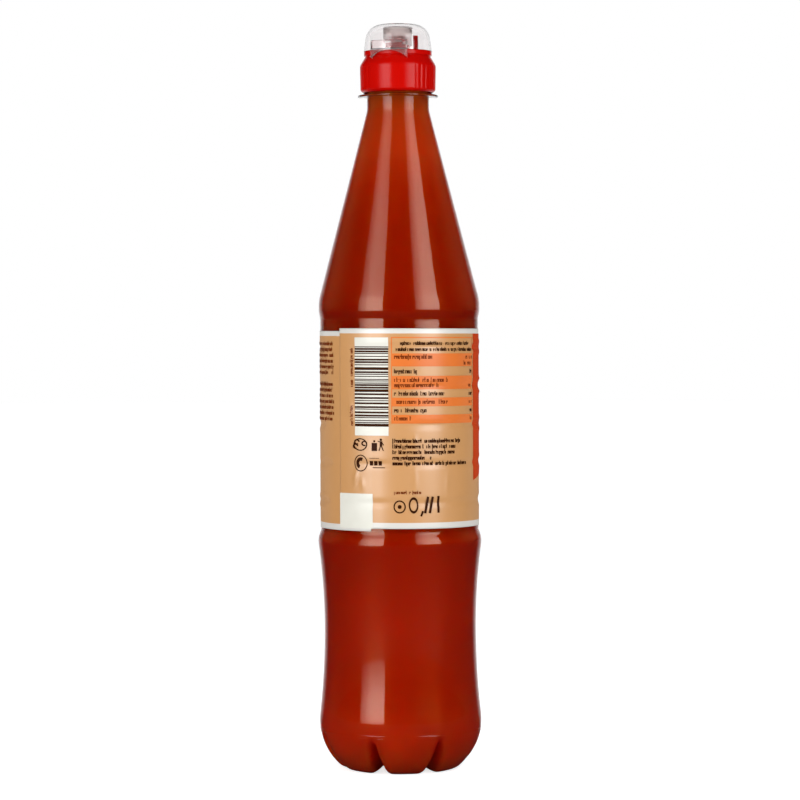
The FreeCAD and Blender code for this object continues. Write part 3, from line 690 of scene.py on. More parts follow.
def bottle_surface(columns, softness, wave, ridge):
    """The whole wall in one grid, from the middle of the base outside, up and over the rim, and down inside.
    The base's rows lie closer together at the parting lines."""
    azimuths = bottle_azimuths(columns)
    dips = np.concatenate([[90], np.linspace(88.5, 9.5, 64), np.linspace(8.8, 4.6, 18), [3, 1.4]])
    side = thin_out(side_outline(0, softness), 3.2, 3.2)
    neck = neck_outline()
    radius, height = neck.T
    plain = thin_out(neck[height < THREAD_FOOT], 1.5, 15)
    finish = neck[(height >= THREAD_FOOT) & (radius > FINISH - 0.1) & (height < THREAD_TOP)][::3]
    rim = thin_out(neck[height >= THREAD_TOP], 1.5, 15)
    bore = np.array([[BORE, RIM_Z - 4], [BORE, SYRUP_Z], [BORE, RING_Z]])
    inner = thin_out(side_outline(WALL, softness), 8, 12)[::-1]
    return np.concatenate(
        [
            moulded(base_rows(dips, azimuths, 0), wave, ridge),
            moulded(revolved(side, azimuths), wave),
            revolved(plain, azimuths),
            threaded(revolved(finish, azimuths)),
            revolved(rim, azimuths),
            revolved(bore, azimuths),
            revolved(inner, azimuths),
            base_rows(np.linspace(1.5, 90, 30), azimuths, WALL),
        ]
    )


def syrup_surface(columns, softness, wave, into_wall):
    """The syrup: the bottle's outer form inset so that it reaches just into the wall, shut at its level."""
    azimuths = bottle_azimuths(columns)
    dips = np.concatenate([[90], np.linspace(88.5, 1.5, 60)])
    inset = WALL - into_wall
    side = thin_out(side_outline(inset, softness), 3.2, 2.5)
    bore, bend = BORE + into_wall, 0.4
    column = [[bore, RING_Z], [bore, SYRUP_Z - bend]]
    level = [[bore - bend, SYRUP_Z], [bore / 2, SYRUP_Z], [0, SYRUP_Z]]
    outline = np.concatenate([side, column, level])
    return np.concatenate([base_rows(dips, azimuths, inset), moulded(revolved(outline, azimuths), wave)])


# ---------------------------------------------------------------- the label


def creases(along, up, azimuth, height, depth):
    """How far the film lies off its even wrap. It sinks a little into each groove, more at some azimuths,
    and in places it folds into lens-shaped hollows there. A few soft upright creases run through it. Its
    outer face never sinks below the bottle's wall."""
    hold = 0.5 + 0.3 * np.sin(2 * azimuth + 0.6) + 0.2 * np.sin(5 * azimuth + 2.1)
    clear_of_lap = smoothstep((along - LAP) / 4) * smoothstep((LABEL_TURN - along) / 6)
    off = np.zeros(np.broadcast(along, up).shape)
    for number, groove in enumerate(GROOVES):
        from_groove = height - groove
        off -= 0.42 * depth * hold * bell(from_groove / 1.3)
        swing = 0.6 + 0.4 * np.sin(3 * azimuth + number)
        for side, centre in enumerate(HOLLOWS):
            middle = math.radians(centre + 7 * math.sin(2.4 * number + side))
            turn = from_nearest(azimuth, middle, TURN)
            reach = np.hypot(turn / HOLLOW_TURN, from_groove / HOLLOW_RISE)
            off -= 0.5 * depth * clear_of_lap * np.maximum(1 - reach, 0)
            off += 0.18 * depth * clear_of_lap * bell((reach - 1.15) / 0.35) * swing
    for place, middle, width, reach, slant, rise in CREASES:
        across = bell((along - place - slant * (up - middle)) / width)
        off += rise * depth * across * bell((up - middle) / reach) ** 2
    return np.maximum(off, -0.1 - 0.7 * np.maximum(groove_dip(height), 0))


def film_points(along, up, lift, depth):
    """The label's outer face by the length along the film from its start and the height over its lower edge.
    It starts on top of its own inner end, comes down to the bottle after it, and drops a little as it goes
    round."""
    azimuth = LABEL_START + along / LABEL_RADIUS
    height = LABEL_Z + up - LABEL_DROP * along / LABEL_LENGTH
    over_lap = FILM * (1 - smoothstep((along - LAP) / 2.5))
    off = creases(along, up, azimuth, height, depth)
    return turned(LABEL_RADIUS + over_lap + off + lift, azimuth, height)


# ---------------------------------------------------------------- print on the label


def field(across, up):
    """Quads of a grid whose columns stand at the given lengths and whose rows have the given heights."""
    grid = np.stack([np.broadcast_to(across, up.shape), up], axis=-1)
    return np.stack([grid[:-1, :-1], grid[:-1, 1:], grid[1:, 1:], grid[1:, :-1]], axis=2).reshape(-1, 4, 2)


def print_steps(start, end):
    """Places from the start to the end, close enough for print to follow the film's creases."""
    return np.linspace(start, end, max(2, math.ceil((end - start) / 0.6) + 1))


def rectangle(left, foot, right, top):
    """Quads that fill a rectangle of the label."""
    across = print_steps(left, right)
    return field(across, print_steps(foot, top)[:, None] + 0 * across)


def ring(centre, outer, inner, first=0.0, last=360.0, squeeze=1.0, pieces=32):
    """Quads of a ring or part of one, or of a disc when the inner radius is 0; squeeze narrows it."""
    angle = np.radians(np.linspace(first, last, pieces + 1))[:, None]
    radius = print_steps(inner, outer)
    across = centre[0] + squeeze * radius * np.cos(angle)
    return field(across, centre[1] + radius * np.sin(angle))


def stroke(start, end, width):
    """One straight stroke as a quad."""
    start, end = np.array(start, float), np.array(end, float)
    along = (end - start) / np.hypot(*(end - start))
    side = width / 2 * np.array([along[1], -along[0]])
    return np.array([[start - side, start + side, end + side, end - side]])[:, ::-1]


def marks(left, foot, right, size, weight, random, upright=True):
    """A line of small marks with the rhythm of text: each has a stem, some tall or hanging, and perhaps a
    second stem and bars between them. None is a letter. Heights are in shares of the size."""
    advance = size * 0.7
    weight *= 1.3
    thin = weight / size
    count = max(1, int((right - left) / advance))
    places = (left + advance * np.arange(count))[random.random(count) > 0.12]
    count = len(places)
    wide = places + size * random.uniform(0.34, 0.5, count)
    tall = np.where(random.random(count) < 0.24, 1.45, 1.0)
    low = np.where(random.random(count) < 0.1, -0.4, 0.0)
    second = random.random(count)
    second_foot = np.where(second < 0.2, 0.5, 0)
    quads = []
    for start, end, bottom, top, kept in (
        (places, places + weight, low, tall, second >= 0),
        (wide, wide + weight, second_foot, 1, second < 0.75),
        (places, wide, 1 - thin, 1, random.random(count) < 0.6),
        (places, wide, 0, thin, random.random(count) < 0.45),
        (places, wide, 0.45, 0.45 + thin, random.random(count) < 0.3),
    ):
        corners = ((start, bottom), (end, bottom), (end, top), (start, top))
        places_of = [np.stack([x, foot + size * y + 0 * x], axis=-1)[kept] for x, y in corners]
        quads.append(np.stack(places_of, axis=1))
    quads = np.concatenate(quads)
    return quads if upright else turned_up(quads, left, foot)


def turned_up(quads, left, foot):
    """Quads turned a quarter about their line's start, so that the line climbs."""
    moved = quads - (left, foot)
    return np.stack([left - moved[..., 1], foot + moved[..., 0]], axis=-1)


def lines_of_marks(lines, size, weight, random, upright=True):
    """Lines of marks, each given by its left end, its foot and its right end."""
    return [marks(*ends, size, weight, random, upright) for ends in lines]


def add_print(name, colour, shade, lift, quads, depth, gloss):
    """One ink's shapes as a thin layer just over the film. Quads that share a corner share its vertex."""
    corners = np.round(np.concatenate(quads).reshape(-1, 2), 3)
    places, index = np.unique(corners, axis=0, return_inverse=True)
    vertices = film_points(places[:, 0], places[:, 1], lift, depth)
    ink = plastic(f"{name}_ink", colour, shade, 0.33, satin=0.9, Specular_IOR_Level=gloss)
    return add_piece(name, vertices, index.reshape(-1, 4).tolist(), [ink], "label", "film")


def barcode(random):
    """Level bars of seeded widths, as many as a plain code has."""
    widths = random.choice([0.35, 0.7, 1.05], 60, p=[0.55, 0.3, 0.15])
    widths[1::2] *= 1.5
    edges = np.cumsum(widths)
    edges = CODE_FOOT + (edges - edges[0]) * (CODE_TOP - CODE_FOOT) / (edges[-1] - edges[0])
    return [rectangle(CODE_LEFT, low, CODE_RIGHT, high) for low, high in zip(edges[0::2], edges[1::2])]


def table_fields():
    """The table's orange rows and frame."""
    orange = [rectangle(TABLE_LEFT, low, TABLE_RIGHT, high) for low, high in TABLE_ROWS]
    orange.append(rectangle(TABLE_LEFT, TABLE_TOP - RULE, TABLE_RIGHT, TABLE_TOP))
    orange.append(rectangle(TABLE_LEFT, TABLE_FOOT, TABLE_LEFT + RULE, TABLE_TOP))
    orange.append(rectangle(ROW_RIGHT, TABLE_FOOT, TABLE_RIGHT, TABLE_TOP))
    return orange


def table_marks(random):
    """The table's marks: dark ones in the title and the plain rows, and brown ones in the orange rows. Each
    row has a line at the left and a short one at the right."""
    title = ((27.0, 73.2, 60.5), (25.3, 70.8, 62.4))
    plain = ((61.9, 35.0, 61.0), (53.1, 47.0, 60.2), (46.4, 38.0, 61.0))
    filled = ((58.5, 48.0), (56.4, 43.0), (49.8, 48.0), (43.2, 32.2))
    amounts = ((57.0, 67.7), (56.5, 65.3), (60.6, 56.4), (60.2, 49.8), (61.0, 43.2))
    dark = lines_of_marks(title, 1.1, 0.24, random)
    dark += lines_of_marks([(ROW_LEFT, foot, end) for foot, end, _ in plain], 1.25, 0.22, random)
    dark += lines_of_marks([(start, foot, ROW_RIGHT) for foot, _, start in plain], 1.2, 0.22, random)
    brown = [marks(ROW_LEFT, 67.7, 40.6, 1.3, 0.3, random)]
    brown += lines_of_marks([(ROW_LEFT, foot, end) for foot, end in filled], 1.25, 0.27, random)
    brown += lines_of_marks([(start, foot, ROW_RIGHT) for start, foot in amounts], 1.2, 0.24, random)
    return dark, brown


def free_marks(random):
    """Marks outside the table: five dark lines under it, a brown line over the contents, two brown lines
    that climb beside the bars, and two brown blocks at the film's other end."""
    ends = (55.0, 52.6, 51.8, 41.1, 59.8)
    storage = [(23.8, 34.3 - 2.24 * number, end) for number, end in enumerate(ends)]
    dark = lines_of_marks(storage, 1.15, 0.27, random)
    brown = [marks(24.4, 13.9, 35.9, 0.95, 0.18, random)]
    brown += lines_of_marks(((7.1, 41.0, 16.1), (7.1, 56.5, 22.6)), 1.0, 0.2, random, False)
    for foot in [74.0 - 2.32 * k for k in range(6)] + [57.7 - 2.32 * k for k in range(7)]:
        brown.append(marks(FIELD_RIGHT, foot, LABEL_TURN - random.uniform(3.2, 4.6), 1.15, 0.27, random))
    return dark, brown


def knot_sign():
    """A plain sign of no meaning: a knot of crossed arcs round three open rings."""
    knot = [ring((10.4, 33.5), 2.5, 2.1, 20 + turn, 200 + turn, 1.25, 18) for turn in (0, 70, 140, 230, 300)]
    for angle in (0.4, 2.2, 3.6):
        centre = (10.2 + 2.2 * math.cos(angle), 33.4 + 1.4 * math.sin(angle))
        knot.append(ring(centre, 1.1, 0.55, 0, 300, 1.2, 12))
    return knot


def figure_sign():
    """A plain sign: a bin with a lid and a figure of a disc and strokes beside it."""
    limbs = (
        ((19.3, 34.9), (19.2, 32.9), 1.0),
        ((19.1, 33.2), (18.4, 31.1), 0.4),
        ((19.3, 33.2), (20.2, 31.1), 0.4),
        ((19.3, 34.5), (17.9, 34.9), 0.35),
        ((19.5, 34.6), (20.3, 33.3), 0.35),
    )
    sign = [ring((16.5, 34.9), 0.42, 0, pieces=14), rectangle(15.4, 31.0, 17.6, 34.2)]
    return sign + [ring((19.2, 35.5), 0.5, 0, pieces=14)] + [stroke(*limb) for limb in limbs]


def ring_sign():
    """A plain sign: a ring with part of a disc in it, and squares between two lines beside it."""
    sign = [ring((10.6, 26.1), 3.35, 2.95, squeeze=0.88, pieces=40)]
    sign.append(ring((10.6, 26.1), 2.3, 0.9, 60, 250, 0.9, 20))
    sign += [rectangle(14.5 + 1.8 * k, 25.2, 15.9 + 1.8 * k, 27.0) for k in range(3)]
    return sign + [rectangle(15.8, 24.2, 20.8, 24.5), rectangle(14.4, 28.0, 18.4, 28.2)]


def volume_mark():
    """Bold plain shapes where the contents are stated: a ring with a dot, an oval, a tick and bars."""
    mark = [ring((26.6, 8.8), 2.6, 2.05, squeeze=0.95, pieces=36), ring((26.6, 8.8), 0.8, 0, pieces=16)]
    mark += [ring((32.2, 9.4), 3.25, 2.25, squeeze=0.6, pieces=36), stroke((36.0, 7.1), (35.2, 5.0), 0.8)]
    mark += [stroke((38.2, 12.8), (36.9, 6.2), 1.0), stroke((40.2, 12.8), (38.9, 6.2), 1.0)]
    return mark + [rectangle(42.2, 6.3, 43.2, 13.0)]


def white_fields():
    """White under and round the bars, and a white corner at the film's start."""
    spans = ((WINDOW_FOOT, CODE_FOOT), (CODE_TOP, WINDOW_TOP), (CODE_FOOT, CODE_TOP))
    window = [rectangle(CODE_LEFT, low, CODE_RIGHT, high) for low, high in spans]
    return window + [rectangle(0.0, 0.0, 15.7, 13.9)]


def red_field():
    """The red field on the label's back. Its foot climbs from the table, then falls again to the far end."""
    across = np.linspace(FIELD_LEFT, FIELD_RIGHT, 180)
    foot = FIELD_FOOT + 0.21 * (across - 63.7) * smoothstep((FIELD_RIGHT - across) / 60)
    share = np.linspace(0, 1, 130)[:, None]
    return [field(across, foot + share * (LABEL_HEIGHT - TOP_BAND - foot))]


# ---------------------------------------------------------------- the cap and the overcap


def grips(azimuths, radius, height):
    """How far the skirt is cut back, from 0 to 1: upright grooves with rounded edges at an even pitch, all
    but at its smooth front, fading out at its foot, its top and inside."""
    pitch = (TURN - 2 * SMOOTH_FRONT) / (GRIPS - 1)
    past = (azimuths - CAP_TURN - SMOOTH_FRONT) % TURN
    from_grip = np.abs(from_nearest(past, 0, pitch)) * SKIRT_FOOT
    ribbed = (past < TURN - 2 * SMOOTH_FRONT + pitch / 2) | (past > TURN - pitch / 2)
    outside = smoothstep((radius - SKIRT_FOOT + 0.9) / 0.5)
    between = smoothstep((height + 0.1) / 0.2) * smoothstep((GRIP_TOP - height) / 0.5)
    return outside * between * smoothstep((0.75 - from_grip) / 0.6) * ribbed


def cap_surface(columns, grip_depth):
    """The cap in one grid, from the middle of its underside down inside the skirt, up outside, over the
    pinch, the collar and the deck, up the spout and down to the floor of its mouth."""
    under = [
        (0, CAP_DEPTH),
        (NECK_BORE, CAP_DEPTH),
        (NECK_BORE, BORE_TOP + 1.4),
        (THREAD_BORE, BORE_TOP),
        (THREAD_BORE, 3),
    ]
    skirt = [
        (THREAD_BORE, 2.9),
        (THREAD_BORE, 0),
        (SKIRT_FOOT - 1.1, 0),
        (SKIRT_FOOT, 1.1),
        (SKIRT_TOP, CAP_EDGE - 0.4),
        (SKIRT_TOP - 0.35, CAP_EDGE + 0.55),
        (PINCH, COLLAR_FOOT),
        (COLLAR, COLLAR_FOOT),
        (COLLAR, DECK),
        (SPOUT + 2, DECK),
    ]
    lip_at, lip_z = SPOUT - SPOUT_LIP, SPOUT_TOP - SPOUT_LIP
    spout = [(SPOUT + 1.9, DECK), (SPOUT, DECK), (SPOUT, lip_z)]
    mouth = [(lip_at - 0.1, SPOUT_TOP), (SPOUT_BORE, SPOUT_TOP), (SPOUT_BORE, SPOUT_FLOOR), (0, SPOUT_FLOOR)]
    lip = arc((lip_at, lip_z), SPOUT_LIP, 4, 90)
    outline = [rounded(under, 0.12), rounded(skirt, 0.2), rounded(spout, 0.15), lip, rounded(mouth, 0.15)]
    outline = thin_out(np.concatenate(outline), 1.4, 12)
    azimuths = np.linspace(0, TURN, columns, endpoint=False)
    radius, height = outline[:, :1], outline[:, 1:]
    return turned(radius - grip_depth * grips(azimuths, radius, height), azimuths, CAP_Z + height)


def post_surface():
    """The square post on the deck, its edges rounded: a power of the sine and cosine of the angle round it
    makes the section, which narrows over the last half millimetre of its height."""
    angle = np.radians(np.arange(0, 360, 7.5))
    half = POST_WIDTH / 2
    across = half * np.sign(np.cos(angle)) * np.abs(np.cos(angle)) ** 0.28
    beside = half * np.sign(np.sin(angle)) * np.abs(np.sin(angle)) ** 0.28
    height = POST_HEIGHT - np.array([POST_HEIGHT + 0.3, POST_HEIGHT + 0.3, 0.35, 0.1, 0, 0])[:, None]
    share = np.array([0, 1, 1, 0.9, 0.65, 0])[:, None]
    azimuth = CAP_TURN + math.pi / 2
    out, side = POST_AT + half + share * across, share * beside
    x = out * math.sin(azimuth) + side * math.cos(azimuth)
    y = -out * math.cos(azimuth) + side * math.sin(azimuth)
    return np.stack([x, y, CAP_Z + DECK + height + 0 * x], axis=-1)


def edge_centre(bend, top, lean):
    """The centre of the bend between the overcap's leaning wall and its roof: it lies at the bend's radius
    inside the wall and inside the roof's arc, so it solves a quadratic for the way up the wall."""
    start = np.array([DOME - DOME_BEND * math.cos(lean), -DOME_BEND * math.sin(lean) - top])
    up = np.array([-math.sin(lean), math.cos(lean)])
    half = start @ up
    way = -half + math.sqrt(half**2 - start @ start + (bend - DOME_BEND) ** 2)
    return start[0] + way * up[0], start[1] + way * up[1] + top


def dome_surface(columns):
    """The overcap in one grid, from the middle of its roof inside, round the sleeve that closes over the
    spout, down inside its wall, and up outside to the middle of its roof."""
    bend = (ROOF**2 + DOME_CROWN**2) / (2 * DOME_CROWN)
    top = DOME_HEIGHT - bend
    lean = math.atan2(DOME - ROOF, DOME_HEIGHT - DOME_CROWN)
    centre_x, centre_z = edge_centre(bend, top, lean)
    edge_turn = math.degrees(math.atan2(centre_z - top, centre_x))

    def roof(inset, first, last):
        """Points along the roof's arc between two radii."""
        radius = np.linspace(first, last, max(2, int(abs(last - first) / OUTLINE_STEP)))
        return np.stack([radius, top + np.sqrt((bend - inset) ** 2 - radius**2)], axis=1)

    def shell(inset):
        """Points up the wall, round the edge of the roof, and in along the roof to the sleeve."""
        edge = arc((centre_x, centre_z), DOME_BEND - inset, math.degrees(lean), edge_turn)
        wall = line((DOME - inset, 0), edge[0])
        return np.concatenate([wall[:-1], edge, roof(inset, edge[-1, 0], SLEEVE + 0.2)[1:]])

    sleeve = [
        (SLEEVE_BORE, roof(DOME_WALL, SLEEVE_BORE, SLEEVE_BORE)[0, 1]),
        (SLEEVE_BORE, SLEEVE_LIFT),
        (SLEEVE, SLEEVE_LIFT),
        (SLEEVE, DOME_HEIGHT - DOME_WALL - 0.9),
    ]
    over_spout = roof(DOME_WALL, 0, SLEEVE_BORE - 0.2)
    inside = np.concatenate([over_spout, rounded(sleeve, 0.12), shell(DOME_WALL)[::-1]])
    outside = np.concatenate([shell(0), roof(0, SLEEVE, 0)])
    foot = rounded([inside[-1], (DOME - 0.5, -0.02), outside[0]], 0.1)
    outline = thin_out(np.concatenate([inside, foot, outside]), 1.0, 7)
    outline[:, 1] += OVERCAP_Z
    return revolved(outline, np.linspace(0, TURN, columns, endpoint=False))


def tab_surface():
    """The thumb tab: a band that leaves the overcap's wall and hangs past the collar. Its section is a soft
    loop, the same all along but for its lower edge, which is an arch, and a scoop for the thumb in its face.
    It narrows a little at both ends."""
    root = DOME - DOME_WALL / 2
    spread = np.linspace(-1, 1, TAB_COLUMNS)
    azimuths = TAB_HALF * spread
    half, rise = TAB_FACE * math.sin(TAB_HALF), TAB_DROP - TAB_BRIDGE
    bend = (half**2 + rise**2) / (2 * rise)
    arch = -TAB_BRIDGE - bend + np.sqrt(bend**2 - (TAB_FACE * np.sin(azimuths)) ** 2)
    lower = [(root, 0.4), (TAB_BACK, 0), (TAB_BACK, -1), (TAB_FACE, -1)]
    upper = [(TAB_FACE, TAB_RISE), (root, TAB_RISE), (root, 0.4)]
    section = thin_out(rounded(lower + upper, 0.14), 0.8, 15)[:-1]
    radius, height = section[:, 0, None], section[:, 1, None]
    foot = np.where(height < 0, -height * arch, height)
    scoop = 1.3 + (TAB_RISE - 1.3) * spread**2
    dent = 0.3 * smoothstep((foot - scoop) / 0.7) * smoothstep((radius - 14.8) / 0.4)
    ends = np.sqrt(1 - np.clip((np.abs(spread) - 0.95) / 0.05, 0, 1) ** 2) * 0.25 + 0.75
    middle = (TAB_FACE + root) / 2
    return turned(middle + (radius - dent - middle) * ends, TAB_TURN + azimuths, OVERCAP_Z + foot)


# ---------------------------------------------------------------- settings


class SYRUPBOTTLE_PG_bottle(bpy.types.PropertyGroup):
    """Settings of the bottle's wall and the syrup in it."""

    columns: bpy.props.IntProperty(
        name="Columns", description="Columns of the grid round the bottle", default=210, min=48
    )
    softness: bpy.props.FloatProperty(
        name="Softness", description="Reach of the outline's rounded corners", default=0.0006, unit="LENGTH"
    )
    wave: bpy.props.FloatProperty(
        name="Wave", description="Depth of the soft waves in the blown wall", default=0.00006, unit="LENGTH"
    )
    ridge: bpy.props.FloatProperty(
        name="Ridge", description="Height of the base mould's parting lines", default=0.0002, unit="LENGTH"
    )
    into_wall: bpy.props.FloatProperty(
        name="Into Wall", description="How far the syrup is in the wall", default=0.00025, unit="LENGTH"
    )


class SYRUPBOTTLE_PG_label(bpy.types.PropertyGroup):
    """Settings of the label and its print."""

    film: bpy.props.FloatVectorProperty(
        name="Film", description="Colour of the film", default=(0.55, 0.272, 0.095), subtype="COLOR"
    )
    creases: bpy.props.FloatProperty(
        name="Creases", description="Depth of the film's folds and creases", default=1.5, subtype="FACTOR"
    )
    lift: bpy.props.FloatProperty(
        name="Ink Lift", description="How far fields of ink lie over the film", default=0.0001, unit="LENGTH"
    )
    seed: bpy.props.IntProperty(name="Seed", description="Seed of the marks and bars", default=7)


class SYRUPBOTTLE_PG_cap(bpy.types.PropertyGroup):
    """Settings of the screw cap and the overcap."""

    red: bpy.props.FloatVectorProperty(
        name="Red", description="Colour of the cap", default=(0.46, 0.002, 0.0), subtype="COLOR"
    )
    columns: bpy.props.IntProperty(
        name="Columns", description="Columns of the grid round the cap", default=480, min=120
    )
    grip_depth: bpy.props.FloatProperty(
        name="Grip Depth", description="Depth of the grooves round the skirt", default=0.0002, unit="LENGTH"
    )
    dome_columns: bpy.props.IntProperty(
        name="Dome Columns", description="Columns of the grid round the overcap", default=192, min=48
    )


class SYRUPBOTTLE_PG_stage(bpy.types.PropertyGroup):
    """Settings of the floor, the light and the camera."""

    lamp_power: bpy.props.FloatProperty(
        name="Lamp Power", description="Power of each soft lamp", default=11.6, unit="POWER"
    )
    lamp_azimuth: bpy.props.FloatProperty(
        name="Lamp Azimuth",
        description="Azimuth of each lamp from the front",
        default=math.radians(41),
        subtype="ANGLE",
    )
    surround: bpy.props.FloatProperty(
        name="Surround", description="Strength of the light from all round", default=0.35, subtype="FACTOR"
    )
    floor_glow: bpy.props.FloatProperty(
        name="Floor Glow", description="How brightly the floor shows to the camera", default=0.75, min=0
    )
    lens: bpy.props.FloatProperty(
        name="Lens", description="Focal length of the camera", default=135.0, subtype="DISTANCE_CAMERA"
    )
    distance: bpy.props.FloatProperty(
        name="Distance", description="From the camera to the bottle's axis", default=1.224, unit="LENGTH"
    )
    height: bpy.props.FloatProperty(
        name="Height", description="Height of the camera over the floor", default=0.1795, unit="LENGTH"
    )
    pitch: bpy.props.FloatProperty(
        name="Pitch",
        description="How far the camera looks down",
        default=math.radians(1.375),
        subtype="ANGLE",
    )
    yaw: bpy.props.FloatProperty(
        name="Yaw",
        description="How far the camera looks right",
        default=math.radians(0.013),
        subtype="ANGLE",
    )
    roll: bpy.props.FloatProperty(
        name="Roll", description="How far the camera is rolled", default=math.radians(-0.25), subtype="ANGLE"
    )


# ---------------------------------------------------------------- operators


class SYRUPBOTTLE_OT_wall(bpy.types.Operator):
    """Add the bottle's clear wall"""

    bl_idname = "syrup_bottle.wall"
    bl_label = "Bottle Wall"

    def execute(self, context):
        settings = context.scene.syrup_bottle
        shape = (settings.softness / MM, settings.wave / MM, settings.ridge / MM)
        points = bottle_surface(settings.columns, *shape)
        pet = clear("pet", (1, 1, 1), 0.04, 1.4)
        add_piece("bottle_wall", *closed_round(points), [pet], "bottle", "pet")
        return {"FINISHED"}


class SYRUPBOTTLE_OT_syrup(bpy.types.Operator):
    """Add the syrup that fills the bottle"""

    bl_idname = "syrup_bottle.syrup"
    bl_label = "Syrup"

    def execute(self, context):
        settings = context.scene.syrup_bottle
        shape = (settings.softness / MM, settings.wave / MM, settings.into_wall / MM)
        points = syrup_surface(settings.columns, *shape)
        add_piece("syrup_fill", *closed_round(points), [syrup_material()], "syrup", "syrup")
        return {"FINISHED"}


class SYRUPBOTTLE_OT_label(bpy.types.Operator):
    """Add the wrapped label film"""

    bl_idname = "syrup_bottle.label"
    bl_label = "Label"

    def execute(self, context):
        settings = context.scene.syrup_label
        band_foot = LABEL_HEIGHT - TOP_BAND
        along = np.linspace(0, LABEL_LENGTH, 300)
        lower, upper = np.linspace(0, FOOT_BAND, 4)[:-1], np.linspace(band_foot, LABEL_HEIGHT, 4)[1:]
        up = np.concatenate([lower, np.linspace(FOOT_BAND, band_foot, 122), upper])
        points = film_points(*np.meshgrid(along, up), 0, settings.creases)
        gloss = {"satin": 0.6, "IOR": 1.7, "Specular_IOR_Level": 0.65}
        tan = plastic("label_tan", tuple(settings.film), (0.53, 0.262, 0.09), 0.33, **gloss)
        white = plastic("label_white", (0.64, 0.62, 0.58), (0.6, 0.58, 0.54), 0.33, **gloss)
        faces = sheet_faces(len(up), len(along))
        piece = add_piece("label_film", points.reshape(-1, 3), faces, [tan, white], "label", "film")
        middle = (up[:-1] + up[1:]) / 2
        banded = ((middle < FOOT_BAND) | (middle > band_foot)).astype(np.int32)
        piece.data.polygons.foreach_set("material_index", np.repeat(banded, len(along) - 1))
        thickness = piece.modifiers.new("thickness", "SOLIDIFY")
        thickness.thickness = (FILM - 0.03) * MM
        thickness.offset = -1
        return {"FINISHED"}


class SYRUPBOTTLE_OT_print(bpy.types.Operator):
    """Add the print on the label: fields of colour, lines of marks and plain signs"""

    bl_idname = "syrup_bottle.print"
    bl_label = "Label Print"

    def execute(self, context):
        settings = context.scene.syrup_label
        random = np.random.default_rng(settings.seed)
        lift, depth = settings.lift / MM, settings.creases
        table_dark, table_brown = table_marks(random)
        bars = barcode(random)
        free_dark, free_brown = free_marks(random)
        dark = table_dark + bars + knot_sign() + figure_sign() + ring_sign() + volume_mark() + free_dark
        discs = [ring((u, h), r, 0, pieces=88) for u, h, r in FRUITS]
        glow = [ring((u - 2.5, h + 3), r * 0.45, 0, squeeze=1.1, pieces=40) for u, h, r in FRUITS]
        pale = [rectangle(84, 62.5, 156, 71.5), rectangle(96, 74.0, 144, 75.0)] + glow
        for name, colour, shade, over, quads, gloss in (
            ("red", (0.48, 0.042, 0.003), (0.44, 0.036, 0.002), 0.0, red_field(), 0.12),
            ("white", (0.70, 0.69, 0.62), (0.62, 0.61, 0.54), 0.0, white_fields(), 0.5),
            ("orange", (0.68, 0.165, 0.022), (0.64, 0.145, 0.018), 0.0, table_fields(), 0.5),
            ("fruit", (0.75, 0.25, 0.018), (0.66, 0.12, 0.010), 0.09, discs, 0.3),
            ("pale", (0.82, 0.60, 0.30), (0.78, 0.54, 0.24), 0.18, pale, 0.3),
            ("dark", (0.030, 0.007, 0.001), (0.036, 0.009, 0.002), 0.03, dark, 0.06),
            ("brown", (0.17, 0.030, 0.003), (0.15, 0.025, 0.003), 0.03, table_brown + free_brown, 0.1),
        ):
            add_print(f"print_{name}", colour, shade, lift + over, quads, depth, gloss)
        return {"FINISHED"}


class SYRUPBOTTLE_OT_cap(bpy.types.Operator):
    """Add the red screw cap with its spout and post"""

    bl_idname = "syrup_bottle.cap"
    bl_label = "Screw Cap"

    def execute(self, context):
        settings = context.scene.syrup_cap
        colours = (tuple(settings.red), (0.43, 0.001, 0.0))
        red = plastic("cap_red", *colours, 0.18, 0.005, Specular_IOR_Level=0.16)
        points = cap_surface(settings.columns, settings.grip_depth / MM)
        add_piece("cap_body", *closed_round(points), [red], "cap", "red_plastic")
        add_piece("cap_post", *closed_round(post_surface()), [red], "cap", "red_plastic")
        return {"FINISHED"}


class SYRUPBOTTLE_OT_overcap(bpy.types.Operator):
    """Add the clear overcap with its sleeve and thumb tab"""

    bl_idname = "syrup_bottle.overcap"
    bl_label = "Overcap"

    def execute(self, context):
        plain = clear("clear_plastic", (0.99, 0.97, 0.97), 0.06, 1.49)
        frosted = clear("frosted_plastic", (0.98, 0.9, 0.88), 0.4, 1.25, 0.8)
        milky = clear("milky_plastic", (0.99, 0.89, 0.89), 0.06, 1.55, 0.95)
        made = closed_round(dome_surface(context.scene.syrup_cap.dome_columns))
        dome = add_piece("overcap_dome", *made, [plain, frosted], "overcap", "clear_plastic")
        polygons = dome.data.polygons
        middles = np.empty(3 * len(polygons))
        polygons.foreach_get("center", middles)
        x, y, z = middles.reshape(-1, 3).T / MM
        sleeve = (np.hypot(x, y) < SLEEVE + 0.2) & (z < OVERCAP_Z + DOME_HEIGHT - DOME_WALL - 0.2)
        polygons.foreach_set("material_index", sleeve.astype(np.int32))
        points = tab_surface()
        faces = band_faces(*points.shape[:2])
        add_piece("overcap_tab", points.reshape(-1, 3), faces, [milky], "overcap", "clear_plastic")
        return {"FINISHED"}


